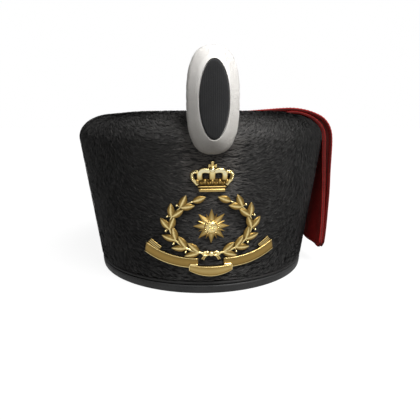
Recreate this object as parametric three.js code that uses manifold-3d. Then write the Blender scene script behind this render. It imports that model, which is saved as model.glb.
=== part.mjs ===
// A hussar's busby: a flared drum of short black fur on a leather rim, with a red cloth bag that
// lies over the crown and hangs at the wearer's left, an oval wool pompon and a gilt front badge.
// Millimetres, +Z up, the wearer faces -Y. The hat stands on its rim at z = 0.
import * as THREE from "three";
import { mergeVertices } from "three/addons/utils/BufferGeometryUtils.js";
import Module from "manifold-3d";

const wasm = await Module();
wasm.setup();

// Drum: half widths from side to side, and how much longer it is from front to back
const RIM_HALF_WIDTH = 93;
const WIDEST_HALF_WIDTH = 108.6;
const WIDEST_Z = 113;
const RIDGE_HALF_WIDTH = 80.7;
const RIDGE_Z = 132.7;
const DEPTH_RATIO = 1.129;
const FLARE = (WIDEST_HALF_WIDTH - RIM_HALF_WIDTH) / WIDEST_Z;
const ROUND_SEGMENTS = 56;
const SHOULDER_STEPS = 8;

// Wall of the drum: a stiff pelt with a standing pile on its outside
const PELT = 2.3;
const PILE = 3.2;
const WALL = PELT + PILE;
const PILE_HEM_Z = 10;
const CROWN_PLATE_Z = 128;
const CROWN_PLATE = 2;
const RECESS_HALF_WIDTH = 74.5;
const GAP = 0.3;

// Leather rim binding and the piping cord above it
const BAND_HEIGHT = 6.5;
const BAND_SOLE = 1.8;
const BAND_LINING_HEIGHT = 9;
const BAND_LINING = 1.4;
const BAND_ROUND = 0.9;
const PIPING_RADIUS = 1.3;
const PIPING_Z = 8.2;
const PIPING_SIDES = 6;

// Red cloth bag
const CLOTH = 1.7;
const HEM_EXTRA = 0.8;
const HEM_SHARE = 0.95;
const CLOTH_LIFT = GAP + 0.2;
const BAG_HALF_WIDTH = 47;
const BAG_END_HALF_WIDTH = 45;
const BAG_END_Z = 15;
const BAG_CORNER = 7;
const BAG_CORNER_TRIM = 3.5;
const BAG_FILLET = 6;
const CROWN_CLOTH_MARGIN = 2;
const CROWN_EDGE_DROP = 1;
const CROWN_BEND_START_X = 20;
const WEB_INSET = 4.4;
const WEB_WIDTH = 2;
const WEB_STEPS = 12;

// Oval pompon, and the pin that holds it, measured forward of the pompon's middle plane
const POMPON_CENTRE_Y = -123.5;
const POMPON_CENTRE_Z = 138.5;
const POMPON_LOCKS = 18;
const PIN_RADIUS = 2;
const PIN_DROP = 20;
const PIN_FRONT = 6;
const PIN_BACK = -7;

// Front badge: heights above the floor, half widths and heights of relief
const CROWN_BADGE = { base: 79.2, bandHeight: 4.2, bandHalf: 9.6, bandRelief: 2, archTop: 95.2, tip: 99.8 };
const CROWN_RIMS = { height: 1, relief: 2.7, overhang: 0.3 };
const CROWN_ARCH = { bulgeHalf: 18.8, halfWidth: 1.35, relief: 1.3 };
const CROWN_CROSS = { bar: 1.3, tall: 4.4, wide: 3.8, relief: 1.6 };
const WREATH = { middle: 53.8, halfWidth: 29, halfHeight: 20.5, startDeg: -84, endDeg: 64, leafPairs: 6 };
const LAUREL = { length: 10.8, taper: 0.25, halfWidth: 2.3, relief: 1.2, spread: 0.5 };
const STAR = { middle: 53.8, points: 8, tipRadius: 13, valleyRadius: 6.4, rise: 2.6, bossRadius: 4.6 };
const SCROLL = { panelHalf: 15.6, panelMiddle: 19.6, ribbon: 7.6, thick: 1.5, panelLift: 1.2, lean: 0.35 };
const BACK_STEP = 0.08;

const finishes = {
  fur: new THREE.MeshStandardMaterial({ color: 0x1b1b1b, roughness: 0.85, metalness: 0 }),
  leather: new THREE.MeshStandardMaterial({ color: 0x3a3a3a, roughness: 0.6, metalness: 0 }),
  cord: new THREE.MeshStandardMaterial({ color: 0x141414, roughness: 0.7, metalness: 0 }),
  redCloth: new THREE.MeshStandardMaterial({ color: 0x7c1412, roughness: 0.9, metalness: 0 }),
  whiteWool: new THREE.MeshStandardMaterial({ color: 0xd9d4cc, roughness: 0.95, metalness: 0 }),
  blackWool: new THREE.MeshStandardMaterial({ color: 0x262626, roughness: 0.95, metalness: 0 }),
  gilt: new THREE.MeshStandardMaterial({ color: 0xc9a24a, roughness: 0.35, metalness: 1 }),
  steel: new THREE.MeshStandardMaterial({ color: 0x8a8a8a, roughness: 0.4, metalness: 1 }),
};

const busby = new THREE.Group();
const { clamp, degToRad, lerp } = THREE.MathUtils;

function addPiece(name, geometry, finish) {
  const piece = new THREE.Mesh(geometry, finish);
  piece.name = name;
  busby.add(piece);
}

// Closed geometry to a solid that can be joined and cut, and back
function toSolid(geometry) {
  const bare = geometry.clone();
  bare.deleteAttribute("normal");
  bare.deleteAttribute("uv");
  const welded = mergeVertices(bare, 1e-4);
  const vertProperties = new Float32Array(welded.attributes.position.array);
  const triVerts = new Uint32Array(welded.index.array);
  return new wasm.Manifold(new wasm.Mesh({ numProp: 3, vertProperties, triVerts }));
}

function fromSolid(solid) {
  const mesh = solid.getMesh();
  const geometry = new THREE.BufferGeometry();
  geometry.setAttribute("position", new THREE.BufferAttribute(mesh.vertProperties, 3));
  geometry.setIndex(new THREE.BufferAttribute(mesh.triVerts, 1));
  geometry.computeVertexNormals();
  return geometry;
}

// Moves every vertex of a geometry to place(x, y, z, index)
function reshape(geometry, place) {
  const at = geometry.attributes.position;
  for (let i = 0; i < at.count; i += 1) {
    const moved = place(at.getX(i), at.getY(i), at.getZ(i), i);
    at.setXYZ(i, moved.x, moved.y, moved.z);
  }
  return geometry;
}

// 0 below low, 1 above high, eased between
function ease(low, high, value) {
  return THREE.MathUtils.smoothstep(value, low, high);
}

// Half width of the pile's outer surface on the flared side wall
function furHalfWidth(z) {
  return RIM_HALF_WIDTH + FLARE * z;
}

// Profile points on an arc of an ellipse, from the side (0 degrees) towards the top (90 degrees)
function arcPoints(middle, middleZ, across, upright, fromDeg, toDeg, steps) {
  return Array.from({ length: steps + 1 }, (_, i) => {
    const angle = degToRad(lerp(fromDeg, toDeg, i / steps));
    return new THREE.Vector2(middle + across * Math.cos(angle), middleZ + upright * Math.sin(angle));
  });
}

// Turns a profile of half widths and heights round the hat's axis, then makes it oval
function ovalLathe(profile) {
  const turned = new THREE.LatheGeometry(profile, ROUND_SEGMENTS);
  return turned.rotateX(Math.PI / 2).scale(1, DEPTH_RATIO, 1);
}

// The fur's rounded shoulder from its widest line to the crown's ridge, grown by an offset
function shoulder(offset) {
  const across = WIDEST_HALF_WIDTH - RIDGE_HALF_WIDTH + offset;
  const upright = RIDGE_Z - WIDEST_Z + offset;
  return arcPoints(RIDGE_HALF_WIDTH, WIDEST_Z, across, upright, 0, 90, SHOULDER_STEPS);
}

// Outer side of the fur from the hem of the pile to the crown's ridge, grown by an offset
function furOutside(offset) {
  const wall = [PILE_HEM_Z, WIDEST_Z / 2].map((z) => new THREE.Vector2(furHalfWidth(z) + offset, z));
  return [...wall, ...shoulder(offset)];
}

// Hollow drum with a crown plate sunk inside a roll of fur. Below the pile's hem only the pelt goes on.
function furBody() {
  const peltOuter = (z) => furHalfWidth(z) - PILE;
  const innerHalf = (z) => furHalfWidth(z) - WALL;
  const lowestZ = BAND_SOLE + GAP;
  const ceilingZ = CROWN_PLATE_Z - CROWN_PLATE;
  const innerShoulder = arcPoints(RECESS_HALF_WIDTH, WIDEST_Z, innerHalf(WIDEST_Z) - RECESS_HALF_WIDTH,
    ceilingZ - WIDEST_Z, 90, 0, SHOULDER_STEPS / 2);
  const rollInside = arcPoints(RIDGE_HALF_WIDTH, CROWN_PLATE_Z, RIDGE_HALF_WIDTH - RECESS_HALF_WIDTH,
    RIDGE_Z - CROWN_PLATE_Z, 90, 180, 3);
  return ovalLathe([
    new THREE.Vector2(0, ceilingZ),
    ...innerShoulder,
    new THREE.Vector2(innerHalf(lowestZ), lowestZ),
    new THREE.Vector2(peltOuter(lowestZ), lowestZ),
    new THREE.Vector2(peltOuter(PILE_HEM_Z), PILE_HEM_Z),
    ...furOutside(0),
    ...rollInside.slice(1),
    new THREE.Vector2(0, CROWN_PLATE_Z),
  ]);
}

// A leather strip folded under the lower edge of the wall, with a lining turned up inside
function rimBand() {
  const outer = (z) => furHalfWidth(z) - GAP * ease(0, BAND_HEIGHT, z);
  const flangeInner = (z) => furHalfWidth(z) - PILE + GAP;
  const liningOuter = (z) => furHalfWidth(z) - WALL - GAP;
  const liningInner = (z) => liningOuter(z) - BAND_LINING;
  const at = (half, z) => new THREE.Vector2(half, z);
  return ovalLathe([
    at(liningInner(0), 0),
    at(outer(0) - BAND_ROUND, 0),
    at(outer(0), BAND_ROUND),
    at(outer(BAND_HEIGHT), BAND_HEIGHT - BAND_ROUND),
    at(outer(BAND_HEIGHT) - BAND_ROUND, BAND_HEIGHT),
    at(flangeInner(BAND_HEIGHT), BAND_HEIGHT),
    at(flangeInner(BAND_SOLE), BAND_SOLE),
    at(liningOuter(BAND_SOLE), BAND_SOLE),
    at(liningOuter(BAND_LINING_HEIGHT), BAND_LINING_HEIGHT),
    at(liningInner(BAND_LINING_HEIGHT), BAND_LINING_HEIGHT),
    at(liningInner(0), 0),
  ]);
}

// Cord that lies in the step between the pile's hem and the binding
function rimPiping() {
  const middle = furHalfWidth(PIPING_Z) - PILE + GAP + PIPING_RADIUS;
  const ring = arcPoints(middle, PIPING_Z, PIPING_RADIUS, PIPING_RADIUS, 0, 360, PIPING_SIDES);
  ring[PIPING_SIDES].copy(ring[0]);
  return ovalLathe(ring);
}

// The bag's two leaves follow guide lines in the hat's side-to-side plane, given as sections.
// x is the distance from the hat's axis and z the height. The outer leaf lies inside its guide line,
// the inner leaf outside its own, which hugs the fur's shoulder before it falls.
const OUTER_LEAF_SECTIONS = [
  { at: "left seam of the crown", x: -73.4, z: 131.2 },
  { at: "left of the crown", x: -40, z: 132 },
  { at: "middle of the crown", x: 0, z: 132.9 },
  { at: "rising to the ridge", x: 40, z: 134.7 },
  { at: "before the ridge", x: 70, z: 136.7 },
  { at: "on the ridge", x: 84, z: 136.9 },
  { at: "upper shoulder", x: 98, z: 134.2 },
  { at: "shoulder", x: 110, z: 128 },
  { at: "top of the fall", x: 116.2, z: 117 },
  { at: "upper fall", x: 114.9, z: 78 },
  { at: "lower fall", x: 110.8, z: 44 },
  { at: "end", x: 107.4, z: BAG_END_Z },
];
const INNER_LEAF_SECTIONS = [
  { at: "seam at the crown", x: RECESS_HALF_WIDTH, z: RIDGE_Z + CLOTH_LIFT },
  ...shoulder(CLOTH_LIFT).reverse().map((point) => ({ at: "shoulder", x: point.x, z: point.y })),
  { at: "top of the fall", x: 109.3, z: 102 },
  { at: "upper fall", x: 108.7, z: 80 },
  { at: "lower fall", x: 106, z: 46 },
  { at: "end", x: 103, z: BAG_END_Z },
];

function guideLine(sections) {
  const points = sections.map((row) => new THREE.Vector3(row.x, 0, row.z));
  return new THREE.CatmullRomCurve3(points, false, "centripetal");
}

const outerGuide = guideLine(OUTER_LEAF_SECTIONS);
const innerGuide = guideLine(INNER_LEAF_SECTIONS);

// Half width of a leaf: the crown's oval where it covers the crown, then the strip of the bag
function leafHalfWidth(x, z) {
  const reach = Math.min(0.99, Math.abs(x) / RECESS_HALF_WIDTH);
  const oval = DEPTH_RATIO * RECESS_HALF_WIDTH * Math.sqrt(1 - reach * reach) - CROWN_CLOTH_MARGIN;
  const strip = lerp(BAG_END_HALF_WIDTH, BAG_HALF_WIDTH, ease(BAG_END_Z, WIDEST_Z, z));
  const corner = BAG_CORNER_TRIM * (1 - ease(BAG_END_Z, BAG_END_Z + BAG_CORNER, z)) ** 2;
  const filleted = (oval + strip + Math.hypot(oval - strip, BAG_FILLET)) / 2;
  return (x < 0 ? oval : filleted) - corner;
}

// Place on a leaf: along the guide (0 to 1), across it (-1 to 1), and outward from the guide.
// The cloth wraps round the drum at the shoulder and hangs flat at its end.
function leafPlace(guide, along, across, outward) {
  const point = guide.getPointAt(along);
  const heading = guide.getTangentAt(along);
  const side = across * leafHalfWidth(point.x, point.z);
  const onDrum = ease(CROWN_BEND_START_X, RIDGE_HALF_WIDTH, point.x);
  const wrap = WIDEST_HALF_WIDTH - Math.sqrt(WIDEST_HALF_WIDTH ** 2 - (side / DEPTH_RATIO) ** 2);
  const wrapShare = onDrum * ease(BAG_END_Z, WIDEST_Z, point.z);
  const edgeDrop = (1 - onDrum) * CROWN_EDGE_DROP * across ** 4;
  return new THREE.Vector3(
    point.x - heading.z * outward - wrapShare * wrap,
    side,
    point.z + heading.x * outward - edgeDrop,
  );
}

// Across stations of a leaf: a thicker hem at each edge, then even steps
const HALF_STATIONS = [0.31, 0.62, 0.92, HEM_SHARE, 1];
const ACROSS_STATIONS = [...HALF_STATIONS.map((share) => -share).reverse(), 0, ...HALF_STATIONS];

function leafThickness(across, z) {
  const hanging = (1 - ease(WIDEST_Z, RIDGE_Z, z)) * ease(BAG_END_Z, RIDGE_Z / 2, z);
  return CLOTH + (Math.abs(across) < HEM_SHARE ? 0 : HEM_EXTRA * hanging);
}

// A leaf as a bent slab on the outer (+1) or inner (-1) side of its guide line
function bagLeaf(guide, steps, side) {
  const last = ACROSS_STATIONS.length - 1;
  const slab = new THREE.BoxGeometry(1, 1, 1, steps, last, 1);
  return reshape(slab, (x, y, z) => {
    const along = clamp(x + 0.5, 0, 1);
    const across = ACROSS_STATIONS[Math.round((y + 0.5) * last)];
    const thickness = leafThickness(across, guide.getPointAt(along).z);
    return leafPlace(guide, along, across, (z + side / 2) * thickness);
  });
}

// Where along a guide line the fall of the bag comes to a height
function alongAtHeight(guide, height) {
  let above = 0.5;
  let below = 1;
  for (let i = 0; i < 30; i += 1) {
    const between = (above + below) / 2;
    if (guide.getPointAt(between).z > height) above = between;
    else below = between;
  }
  return below;
}

// A strip that closes the bag between its leaves: down the front, along the end and up the back
function bagSeamWeb() {
  const strip = new THREE.BoxGeometry(1, 1, 1, 3 * WEB_STEPS, 1, 1);
  return reshape(strip, (x, y, z) => {
    const inset = WEB_INSET + (y + 0.5) * WEB_WIDTH;
    const travel = 3 * (x + 0.5);
    const across = (1 - inset / BAG_HALF_WIDTH) * (2 * clamp(travel - 1, 0, 1) - 1);
    const height = lerp(BAG_END_Z + inset, WIDEST_Z - WEB_INSET, Math.max(0, 1 - travel, travel - 2));
    const onInner = leafPlace(innerGuide, alongAtHeight(innerGuide, height), across, CLOTH + GAP);
    const onOuter = leafPlace(outerGuide, alongAtHeight(outerGuide, height), across, -CLOTH - GAP);
    return onInner.lerp(onOuter, z + 0.5);
  });
}

// Pompon sections from back to front: half width, half height, squareness of the oval, depth, and the
// depth of the furrows between its locks of wool
const POMPON_SECTIONS = [
  { half: 0, tall: 0, power: 2, depth: -8, furrow: 0 },
  { half: 10, tall: 25, power: 2.4, depth: -8, furrow: 0 },
  { half: 14.8, tall: 31.3, power: 2.6, depth: -5.4, furrow: 0.3 },
  { half: 17.3, tall: 34.1, power: 2.65, depth: 0, furrow: 0.4 },
  { half: 16.6, tall: 33.1, power: 2.6, depth: 4.6, furrow: 0.4 },
  { half: 14, tall: 30, power: 2.4, depth: 8.8, furrow: 0.3 },
  { half: 10.6, tall: 26, power: 2.1, depth: 11.6, furrow: 0 },
  { half: 9.7, tall: 24.7, power: 2, depth: 11.4, furrow: 0 },
  { half: 9.7, tall: 24.7, power: 2, depth: 9.6, furrow: 0 },
  { half: 0, tall: 0, power: 2, depth: 9.6, furrow: 0 },
];
const POMPON_CENTRE_SECTIONS = [
  { half: 0, tall: 0, power: 2, depth: 9.9, furrow: 0 },
  { half: 9.4, tall: 24.4, power: 2, depth: 9.9, furrow: 0 },
  { half: 9.4, tall: 24.4, power: 2, depth: 11.2, furrow: 0 },
  { half: 7.6, tall: 20.4, power: 2, depth: 12.1, furrow: 0 },
  { half: 4, tall: 11, power: 2, depth: 12.7, furrow: 0 },
  { half: 0, tall: 0, power: 2, depth: 12.9, furrow: 0 },
];

// Oval sections turned into a closed form, x across, y upright, z forward, with a furrow beside each lock
function ovalForm(sections) {
  const unit = sections.map((row) => new THREE.Vector2(row.half > 0 ? 1 : 0, row.depth));
  const turned = new THREE.LatheGeometry(unit, 2 * POMPON_LOCKS);
  return reshape(turned, (x, y, z, index) => {
    const row = sections[index % sections.length];
    if (row.half === 0) return new THREE.Vector3(0, 0, row.depth);
    const across = Math.abs(x / row.half) ** row.power;
    const upright = Math.abs(z / row.tall) ** row.power;
    const inFurrow = Math.floor(index / sections.length) % 2;
    const reach = (across + upright) ** (-1 / row.power) - inFurrow * row.furrow;
    return new THREE.Vector3(x * reach, -z * reach, row.depth);
  });
}

// The pompon stands upright against the front, its middle plane just clear of the widest fur
function seatPompon(geometry) {
  return geometry.rotateX(Math.PI / 2).translate(0, POMPON_CENTRE_Y, POMPON_CENTRE_Z);
}

function pomponPin(radius, front, back) {
  const rod = new THREE.CylinderGeometry(radius, radius, front - back, 12);
  return seatPompon(rod.rotateX(Math.PI / 2).translate(0, -PIN_DROP, (front + back) / 2));
}

// The pompon's wool, hollowed where it presses on the fur and drilled for its pin
function pomponRing() {
  const axisLow = new THREE.Vector2(0, PILE_HEM_Z);
  const axisHigh = new THREE.Vector2(0, RIDGE_Z + GAP);
  const furSeat = toSolid(ovalLathe([axisLow, ...furOutside(GAP), axisHigh]));
  const pinHole = toSolid(pomponPin(PIN_RADIUS + GAP, PIN_FRONT + GAP, 2 * PIN_BACK));
  const wool = toSolid(seatPompon(ovalForm(POMPON_SECTIONS)));
  return fromSolid(wool.subtract(furSeat).subtract(pinHole));
}

// Drops badge-plane geometry (x across, y height, z relief) onto the front of the fur, flat behind
function drape(geometry, lift) {
  return reshape(geometry, (x, height, relief) => {
    const half = furHalfWidth(height);
    const y = -DEPTH_RATIO * Math.sqrt(half * half - x * x);
    const normal = new THREE.Vector3(x, y / DEPTH_RATIO ** 2, -half * FLARE).normalize();
    return new THREE.Vector3(x, y, height).addScaledVector(normal, GAP + lift + Math.max(0, relief));
  });
}

// Joins the parts of a casting. Their backs lie at slightly different depths, so no two faces coincide.
function cast(parts) {
  const backs = parts.map((_, i) => (i === 0 ? 0 : BACK_STEP * (1 + (i % 5))));
  const solids = parts.map((geometry, i) => toSolid(drape(geometry, backs[i])));
  return fromSolid(solids.reduce((whole, solid) => whole.add(solid)));
}

// A bar of relief, cut across in steps so that it bends
function reliefBar(x, y, width, height, relief, steps) {
  return new THREE.BoxGeometry(width, height, relief, steps, 1, 1).translate(x, y, relief / 2);
}

// A domed boss, sunk a little so that its widest line shows
function reliefDome(x, y, halfWidth, halfHeight, relief, sides, rings) {
  const dome = new THREE.SphereGeometry(1, sides, rings);
  return dome.scale(halfWidth, halfHeight, relief).translate(x, y, relief * 0.55);
}

// A tube of relief along a curve in the badge plane
function reliefTube(curve, halfWidth, relief, sides, steps) {
  const corners = Array.from({ length: sides }, (_, i) => {
    const angle = (2 * Math.PI * i) / sides;
    return new THREE.Vector2(halfWidth * Math.cos(angle), halfWidth * Math.sin(angle));
  });
  const section = new THREE.Shape(corners);
  const tube = new THREE.ExtrudeGeometry(section, { steps, extrudePath: curve, bevelEnabled: false });
  return tube.scale(1, 1, relief / halfWidth).translate(0, 0, relief);
}

// A curve in the badge plane from a start to an end, pulled towards a third point
function reliefCurve(start, pull, end) {
  const points = [start, pull, end].map(([x, y]) => new THREE.Vector3(x, y, 0));
  return new THREE.QuadraticBezierCurve3(...points);
}

// Arched crown: band with two rims, leaf points, five arches, orb and cross
function badgeCrown() {
  const { base, bandHeight, bandHalf, bandRelief, archTop, tip } = CROWN_BADGE;
  const bandTop = base + bandHeight;
  const bandWidth = 2 * (bandHalf - CROWN_RIMS.overhang);
  const parts = [reliefBar(0, base + bandHeight / 2, bandWidth, bandHeight, bandRelief, 4)];
  for (const y of [base + CROWN_RIMS.overhang, bandTop - CROWN_RIMS.overhang]) {
    parts.push(reliefBar(0, y, 2 * bandHalf, CROWN_RIMS.height, CROWN_RIMS.relief, 4));
  }
  for (const share of [-1, -0.5, 0, 0.5, 1]) {
    const foot = [share * (bandHalf - 1.2), bandTop - 0.5];
    const bulge = [share * CROWN_ARCH.bulgeHalf, archTop - 2.5 + Math.abs(share)];
    const crest = [share * 1.2, archTop - 0.8];
    parts.push(reliefTube(reliefCurve(foot, bulge, crest), CROWN_ARCH.halfWidth, CROWN_ARCH.relief, 4, 6));
    parts.push(reliefDome(share * (bandHalf - 0.8), bandTop + 1.4, 1.5, 2.1, bandRelief, 4, 4));
  }
  parts.push(reliefDome(0, archTop, 2, 1.8, bandRelief, 6, 5));
  const { bar, tall, wide, relief } = CROWN_CROSS;
  parts.push(reliefBar(0, tip - tall / 2, bar, tall, relief, 1));
  parts.push(reliefBar(0, tip - wide / 2, wide, bar, relief, 1));
  return cast(parts);
}

// One laurel leaf: a four-sided lens with a raised midrib, pointing along an angle from its root
function laurelLeaf(root, angle, length) {
  const leaf = new THREE.SphereGeometry(1, 4, 4).rotateZ(-Math.PI / 2);
  leaf.scale(length / 2, LAUREL.halfWidth, LAUREL.relief).translate(length / 2, 0, 0);
  return leaf.rotateZ(angle).translate(root.x, root.y, LAUREL.relief * 0.8);
}

// Two laurel branches, tied below and open above
function badgeWreath() {
  const { middle, halfWidth, halfHeight, startDeg, endDeg, leafPairs } = WREATH;
  const parts = [];
  for (const side of [-1, 1]) {
    const bend = arcPoints(0, middle, side * halfWidth, halfHeight, startDeg, endDeg, 8);
    const branch = new THREE.CatmullRomCurve3(bend.map((point) => new THREE.Vector3(point.x, point.y, 0)));
    parts.push(reliefTube(branch, 0.8, 0.9, 4, 10));
    for (let i = 0; i <= leafPairs; i += 1) {
      const along = Math.min(1, (i + 0.55) / (leafPairs + 0.6));
      const heading = branch.getTangentAt(along);
      const course = Math.atan2(heading.y, heading.x);
      for (const spread of i === leafPairs ? [0] : [-LAUREL.spread, LAUREL.spread]) {
        const length = LAUREL.length - LAUREL.taper * i;
        parts.push(laurelLeaf(branch.getPointAt(along), course + spread, length));
      }
    }
  }
  const knot = middle - halfHeight;
  parts.push(reliefDome(0, knot, 2.6, 2, 1.8, 6, 5));
  for (const side of [-1, 1]) {
    const tail = reliefCurve([side * 1.2, knot], [side * 4.5, knot - 1.2], [side * 6, knot - 4.6]);
    parts.push(reliefTube(tail, 1, 0.8, 4, 3));
  }
  return cast(parts);
}

// Faceted star with a round boss
function badgeStar() {
  const { middle, points, tipRadius, valleyRadius, rise, bossRadius } = STAR;
  const cone = new THREE.ConeGeometry(tipRadius, rise, 2 * points, 2).rotateX(Math.PI / 2);
  const star = reshape(cone, (x, y, z) => {
    const turn = Math.round((Math.atan2(y, x) / Math.PI) * points);
    const reach = turn % 2 === 0 ? 1 : valleyRadius / tipRadius;
    return new THREE.Vector3(x * reach, y * reach + middle, z + rise / 2);
  });
  return cast([star, reliefDome(0, middle, bossRadius, bossRadius, rise, 12, 6)]);
}

// A stretch of ribbon that follows a curve, mirrored to the left where side is -1
function ribbonStretch(start, pull, end, side, thick, steps) {
  const curve = reliefCurve(start, pull, end);
  const ribbon = new THREE.BoxGeometry(1, SCROLL.ribbon, thick, steps, 1, 1);
  const bent = reshape(ribbon, (x, y, z) => {
    const point = curve.getPoint(x + 0.5);
    const heading = curve.getTangent(x + 0.5);
    const leaned = point.x - heading.y * SCROLL.lean * y;
    return new THREE.Vector3(side * leaned, point.y + y, z + thick / 2);
  });
  if (side < 0) bent.index.array.reverse();
  return bent;
}

// Blank ribbon: a middle panel and two wings that sweep up behind it and fold back at their tips
function badgeScroll() {
  const { panelHalf, panelMiddle, ribbon, thick, panelLift } = SCROLL;
  const up = (x, rise) => [x, panelMiddle + rise];
  const parts = [reliefBar(0, panelMiddle, 2 * panelHalf, ribbon, thick + panelLift, 8)];
  for (const side of [-1, 1]) {
    parts.push(ribbonStretch(up(panelHalf - 3.5, 4.4), up(31, 7), up(46.6, 16.4), side, thick, 10));
    parts.push(ribbonStretch(up(37.6, 16.2), up(43, 19.4), up(46.3, 17.4), side, thick * 0.7, 4));
  }
  return cast(parts);
}

// Drum and rim
const furPinHole = toSolid(pomponPin(PIN_RADIUS + GAP, PIN_FRONT, PIN_BACK - GAP));
addPiece("fur_body", fromSolid(toSolid(furBody()).subtract(furPinHole)), finishes.fur);
addPiece("rim_band", rimBand(), finishes.leather);
addPiece("rim_piping", rimPiping(), finishes.cord);

// Bag
addPiece("bag_inner_leaf", bagLeaf(innerGuide, 20, 1), finishes.redCloth);
addPiece("bag_outer_leaf", bagLeaf(outerGuide, 28, -1), finishes.redCloth);
addPiece("bag_seam_web", bagSeamWeb(), finishes.redCloth);

// Pompon
addPiece("pompon_ring", pomponRing(), finishes.whiteWool);
addPiece("pompon_centre", seatPompon(ovalForm(POMPON_CENTRE_SECTIONS)), finishes.blackWool);
addPiece("pompon_pin", pomponPin(PIN_RADIUS, PIN_FRONT, PIN_BACK), finishes.steel);

// Badge
addPiece("badge_crown", badgeCrown(), finishes.gilt);
addPiece("badge_star", badgeStar(), finishes.gilt);
addPiece("badge_wreath", badgeWreath(), finishes.gilt);
addPiece("badge_scroll", badgeScroll(), finishes.gilt);

// The part's origin is on the floor under the middle of the whole hat
const part = new THREE.Group();
part.add(busby);
const middle = new THREE.Box3().setFromObject(busby, true).getCenter(new THREE.Vector3());
busby.position.set(-middle.x, -middle.y, 0);

export default part;
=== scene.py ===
# A hussar's busby: a flared drum of short black fur on a leather rim, with a red cloth bag that lies over
# the crown and hangs at the wearer's left, an oval wool pompon and a gilt front badge. Meshes are shaped in
# millimetres about the hat's axis, with the wearer facing -Y, and are then put into the frame's metres.
import math

import bmesh
import bpy
import numpy as np
from mathutils import Matrix, Vector


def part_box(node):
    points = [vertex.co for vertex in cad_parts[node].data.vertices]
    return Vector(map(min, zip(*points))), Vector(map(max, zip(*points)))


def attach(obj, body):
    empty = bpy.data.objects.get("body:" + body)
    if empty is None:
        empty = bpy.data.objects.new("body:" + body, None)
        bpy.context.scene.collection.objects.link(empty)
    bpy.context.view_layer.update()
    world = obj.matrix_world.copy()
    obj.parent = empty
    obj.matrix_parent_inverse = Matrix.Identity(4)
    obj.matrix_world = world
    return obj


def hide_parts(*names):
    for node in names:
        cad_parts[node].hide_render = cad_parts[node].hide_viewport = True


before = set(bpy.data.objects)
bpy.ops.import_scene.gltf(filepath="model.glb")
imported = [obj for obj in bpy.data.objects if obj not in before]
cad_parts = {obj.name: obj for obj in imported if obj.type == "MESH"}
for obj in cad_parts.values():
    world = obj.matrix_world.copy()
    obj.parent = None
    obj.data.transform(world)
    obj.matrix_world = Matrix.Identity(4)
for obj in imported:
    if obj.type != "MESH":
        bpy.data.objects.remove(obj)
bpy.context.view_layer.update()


# Pelt of the drum
# A stiff skin, shaped to a hollow oval that flares upward, rounds over at the shoulder and sinks to a flat
# crown. Its hair side is a thick black undercoat, and its bare side is plain and dark, towards the head.
MM = 0.001
rim_low, rim_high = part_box("rim_band")
fur_low, fur_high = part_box("fur_body")
hat_axis = (rim_low + rim_high) / 2
TO_FRAME = Matrix.Translation((hat_axis.x, hat_axis.y, 0)) @ Matrix.Scale(MM, 4)

DEPTH_RATIO = (fur_high.y - fur_low.y) / (fur_high.x - fur_low.x)
RIM_HALF_WIDTH = 93.0
WIDEST_HALF_WIDTH = (fur_high.x - fur_low.x) / 2 / MM
WIDEST_Z = 113.0
RIDGE_HALF_WIDTH = 80.7
RIDGE_Z = fur_high.z / MM
FLARE = (WIDEST_HALF_WIDTH - RIM_HALF_WIDTH) / WIDEST_Z
RECESS_HALF_WIDTH = 74.5
CROWN_PLATE_Z = 128.0
CROWN_PLATE = 2.0
PELT = 2.3
PILE = 3.2
PILE_HEM_Z = 10.0
UNDERCOAT_DEPTH = 1.1
PELT_FOOT_Z = 2.1
PELT_STEPS = 160
GAP = 0.3


def ease(low, high, value):
    """0 below low, 1 above high, eased between."""
    share = np.clip((value - low) / (high - low), 0, 1)
    return share * share * (3 - 2 * share)


def arc(middle, middle_z, across, upright, start, end, steps):
    """Points on an arc of an ellipse, from the side (0 degrees) towards the top (90 degrees)."""
    angles = np.radians(np.linspace(start, end, steps + 1))
    return [(middle + across * math.cos(a), middle_z + upright * math.sin(a)) for a in angles]


def fur_half_width(z):
    """Half width of the coat's outer surface on the flared wall."""
    return RIM_HALF_WIDTH + FLARE * z


def spun(outline, steps):
    """Spins an outline of points once round the z axis."""
    shaped = bmesh.new()
    points = [shaped.verts.new(point) for point in outline]
    edges = [shaped.edges.new(pair) for pair in zip(points, points[1:])]
    bmesh.ops.spin(shaped, geom=points + edges, cent=(0, 0, 0), axis=(0, 0, 1), angle=2 * math.pi,
                   steps=steps, use_merge=True)
    bmesh.ops.remove_doubles(shaped, verts=shaped.verts, dist=1e-4)
    return shaped


def turned(profile, steps):
    """Spins a profile of half widths and heights round the hat's axis, then makes it oval."""
    shaped = spun([(half, 0, z) for half, z in profile], steps)
    bmesh.ops.recalc_face_normals(shaped, faces=shaped.faces)
    bmesh.ops.scale(shaped, vec=(1, DEPTH_RATIO, 1), verts=shaped.verts)
    return shaped


def linked(name, data):
    """A new object of the scene that holds this data."""
    made = bpy.data.objects.new(name, data)
    bpy.context.collection.objects.link(made)
    return made


def make_piece(name, shaped, *finishes, smooth=True):
    """Puts a mesh shaped in millimetres into the frame, as an object that wears these finishes."""
    bmesh.ops.transform(shaped, matrix=TO_FRAME, verts=shaped.verts)
    mesh = bpy.data.meshes.new(name)
    for face in shaped.faces:
        face.smooth = smooth
    shaped.to_mesh(mesh)
    shaped.free()
    for finish in finishes:
        mesh.materials.append(finish)
    return linked(name, mesh)


def fit(made, slot, *nodes):
    """The piece rides on the hat and stands for these nodes. The slot is not used."""
    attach(made, "root")
    if nodes:
        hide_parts(*nodes)


def new_finish(name, sockets):
    """A material with its even values on its shader's own sockets. Returns it, its tree and the shader."""
    finish = bpy.data.materials.new(name)
    finish.use_nodes = True
    shader = finish.node_tree.nodes["Principled BSDF"]
    for socket, value in sockets.items():
        shader.inputs[socket].default_value = value
    return finish, finish.node_tree, shader


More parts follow.
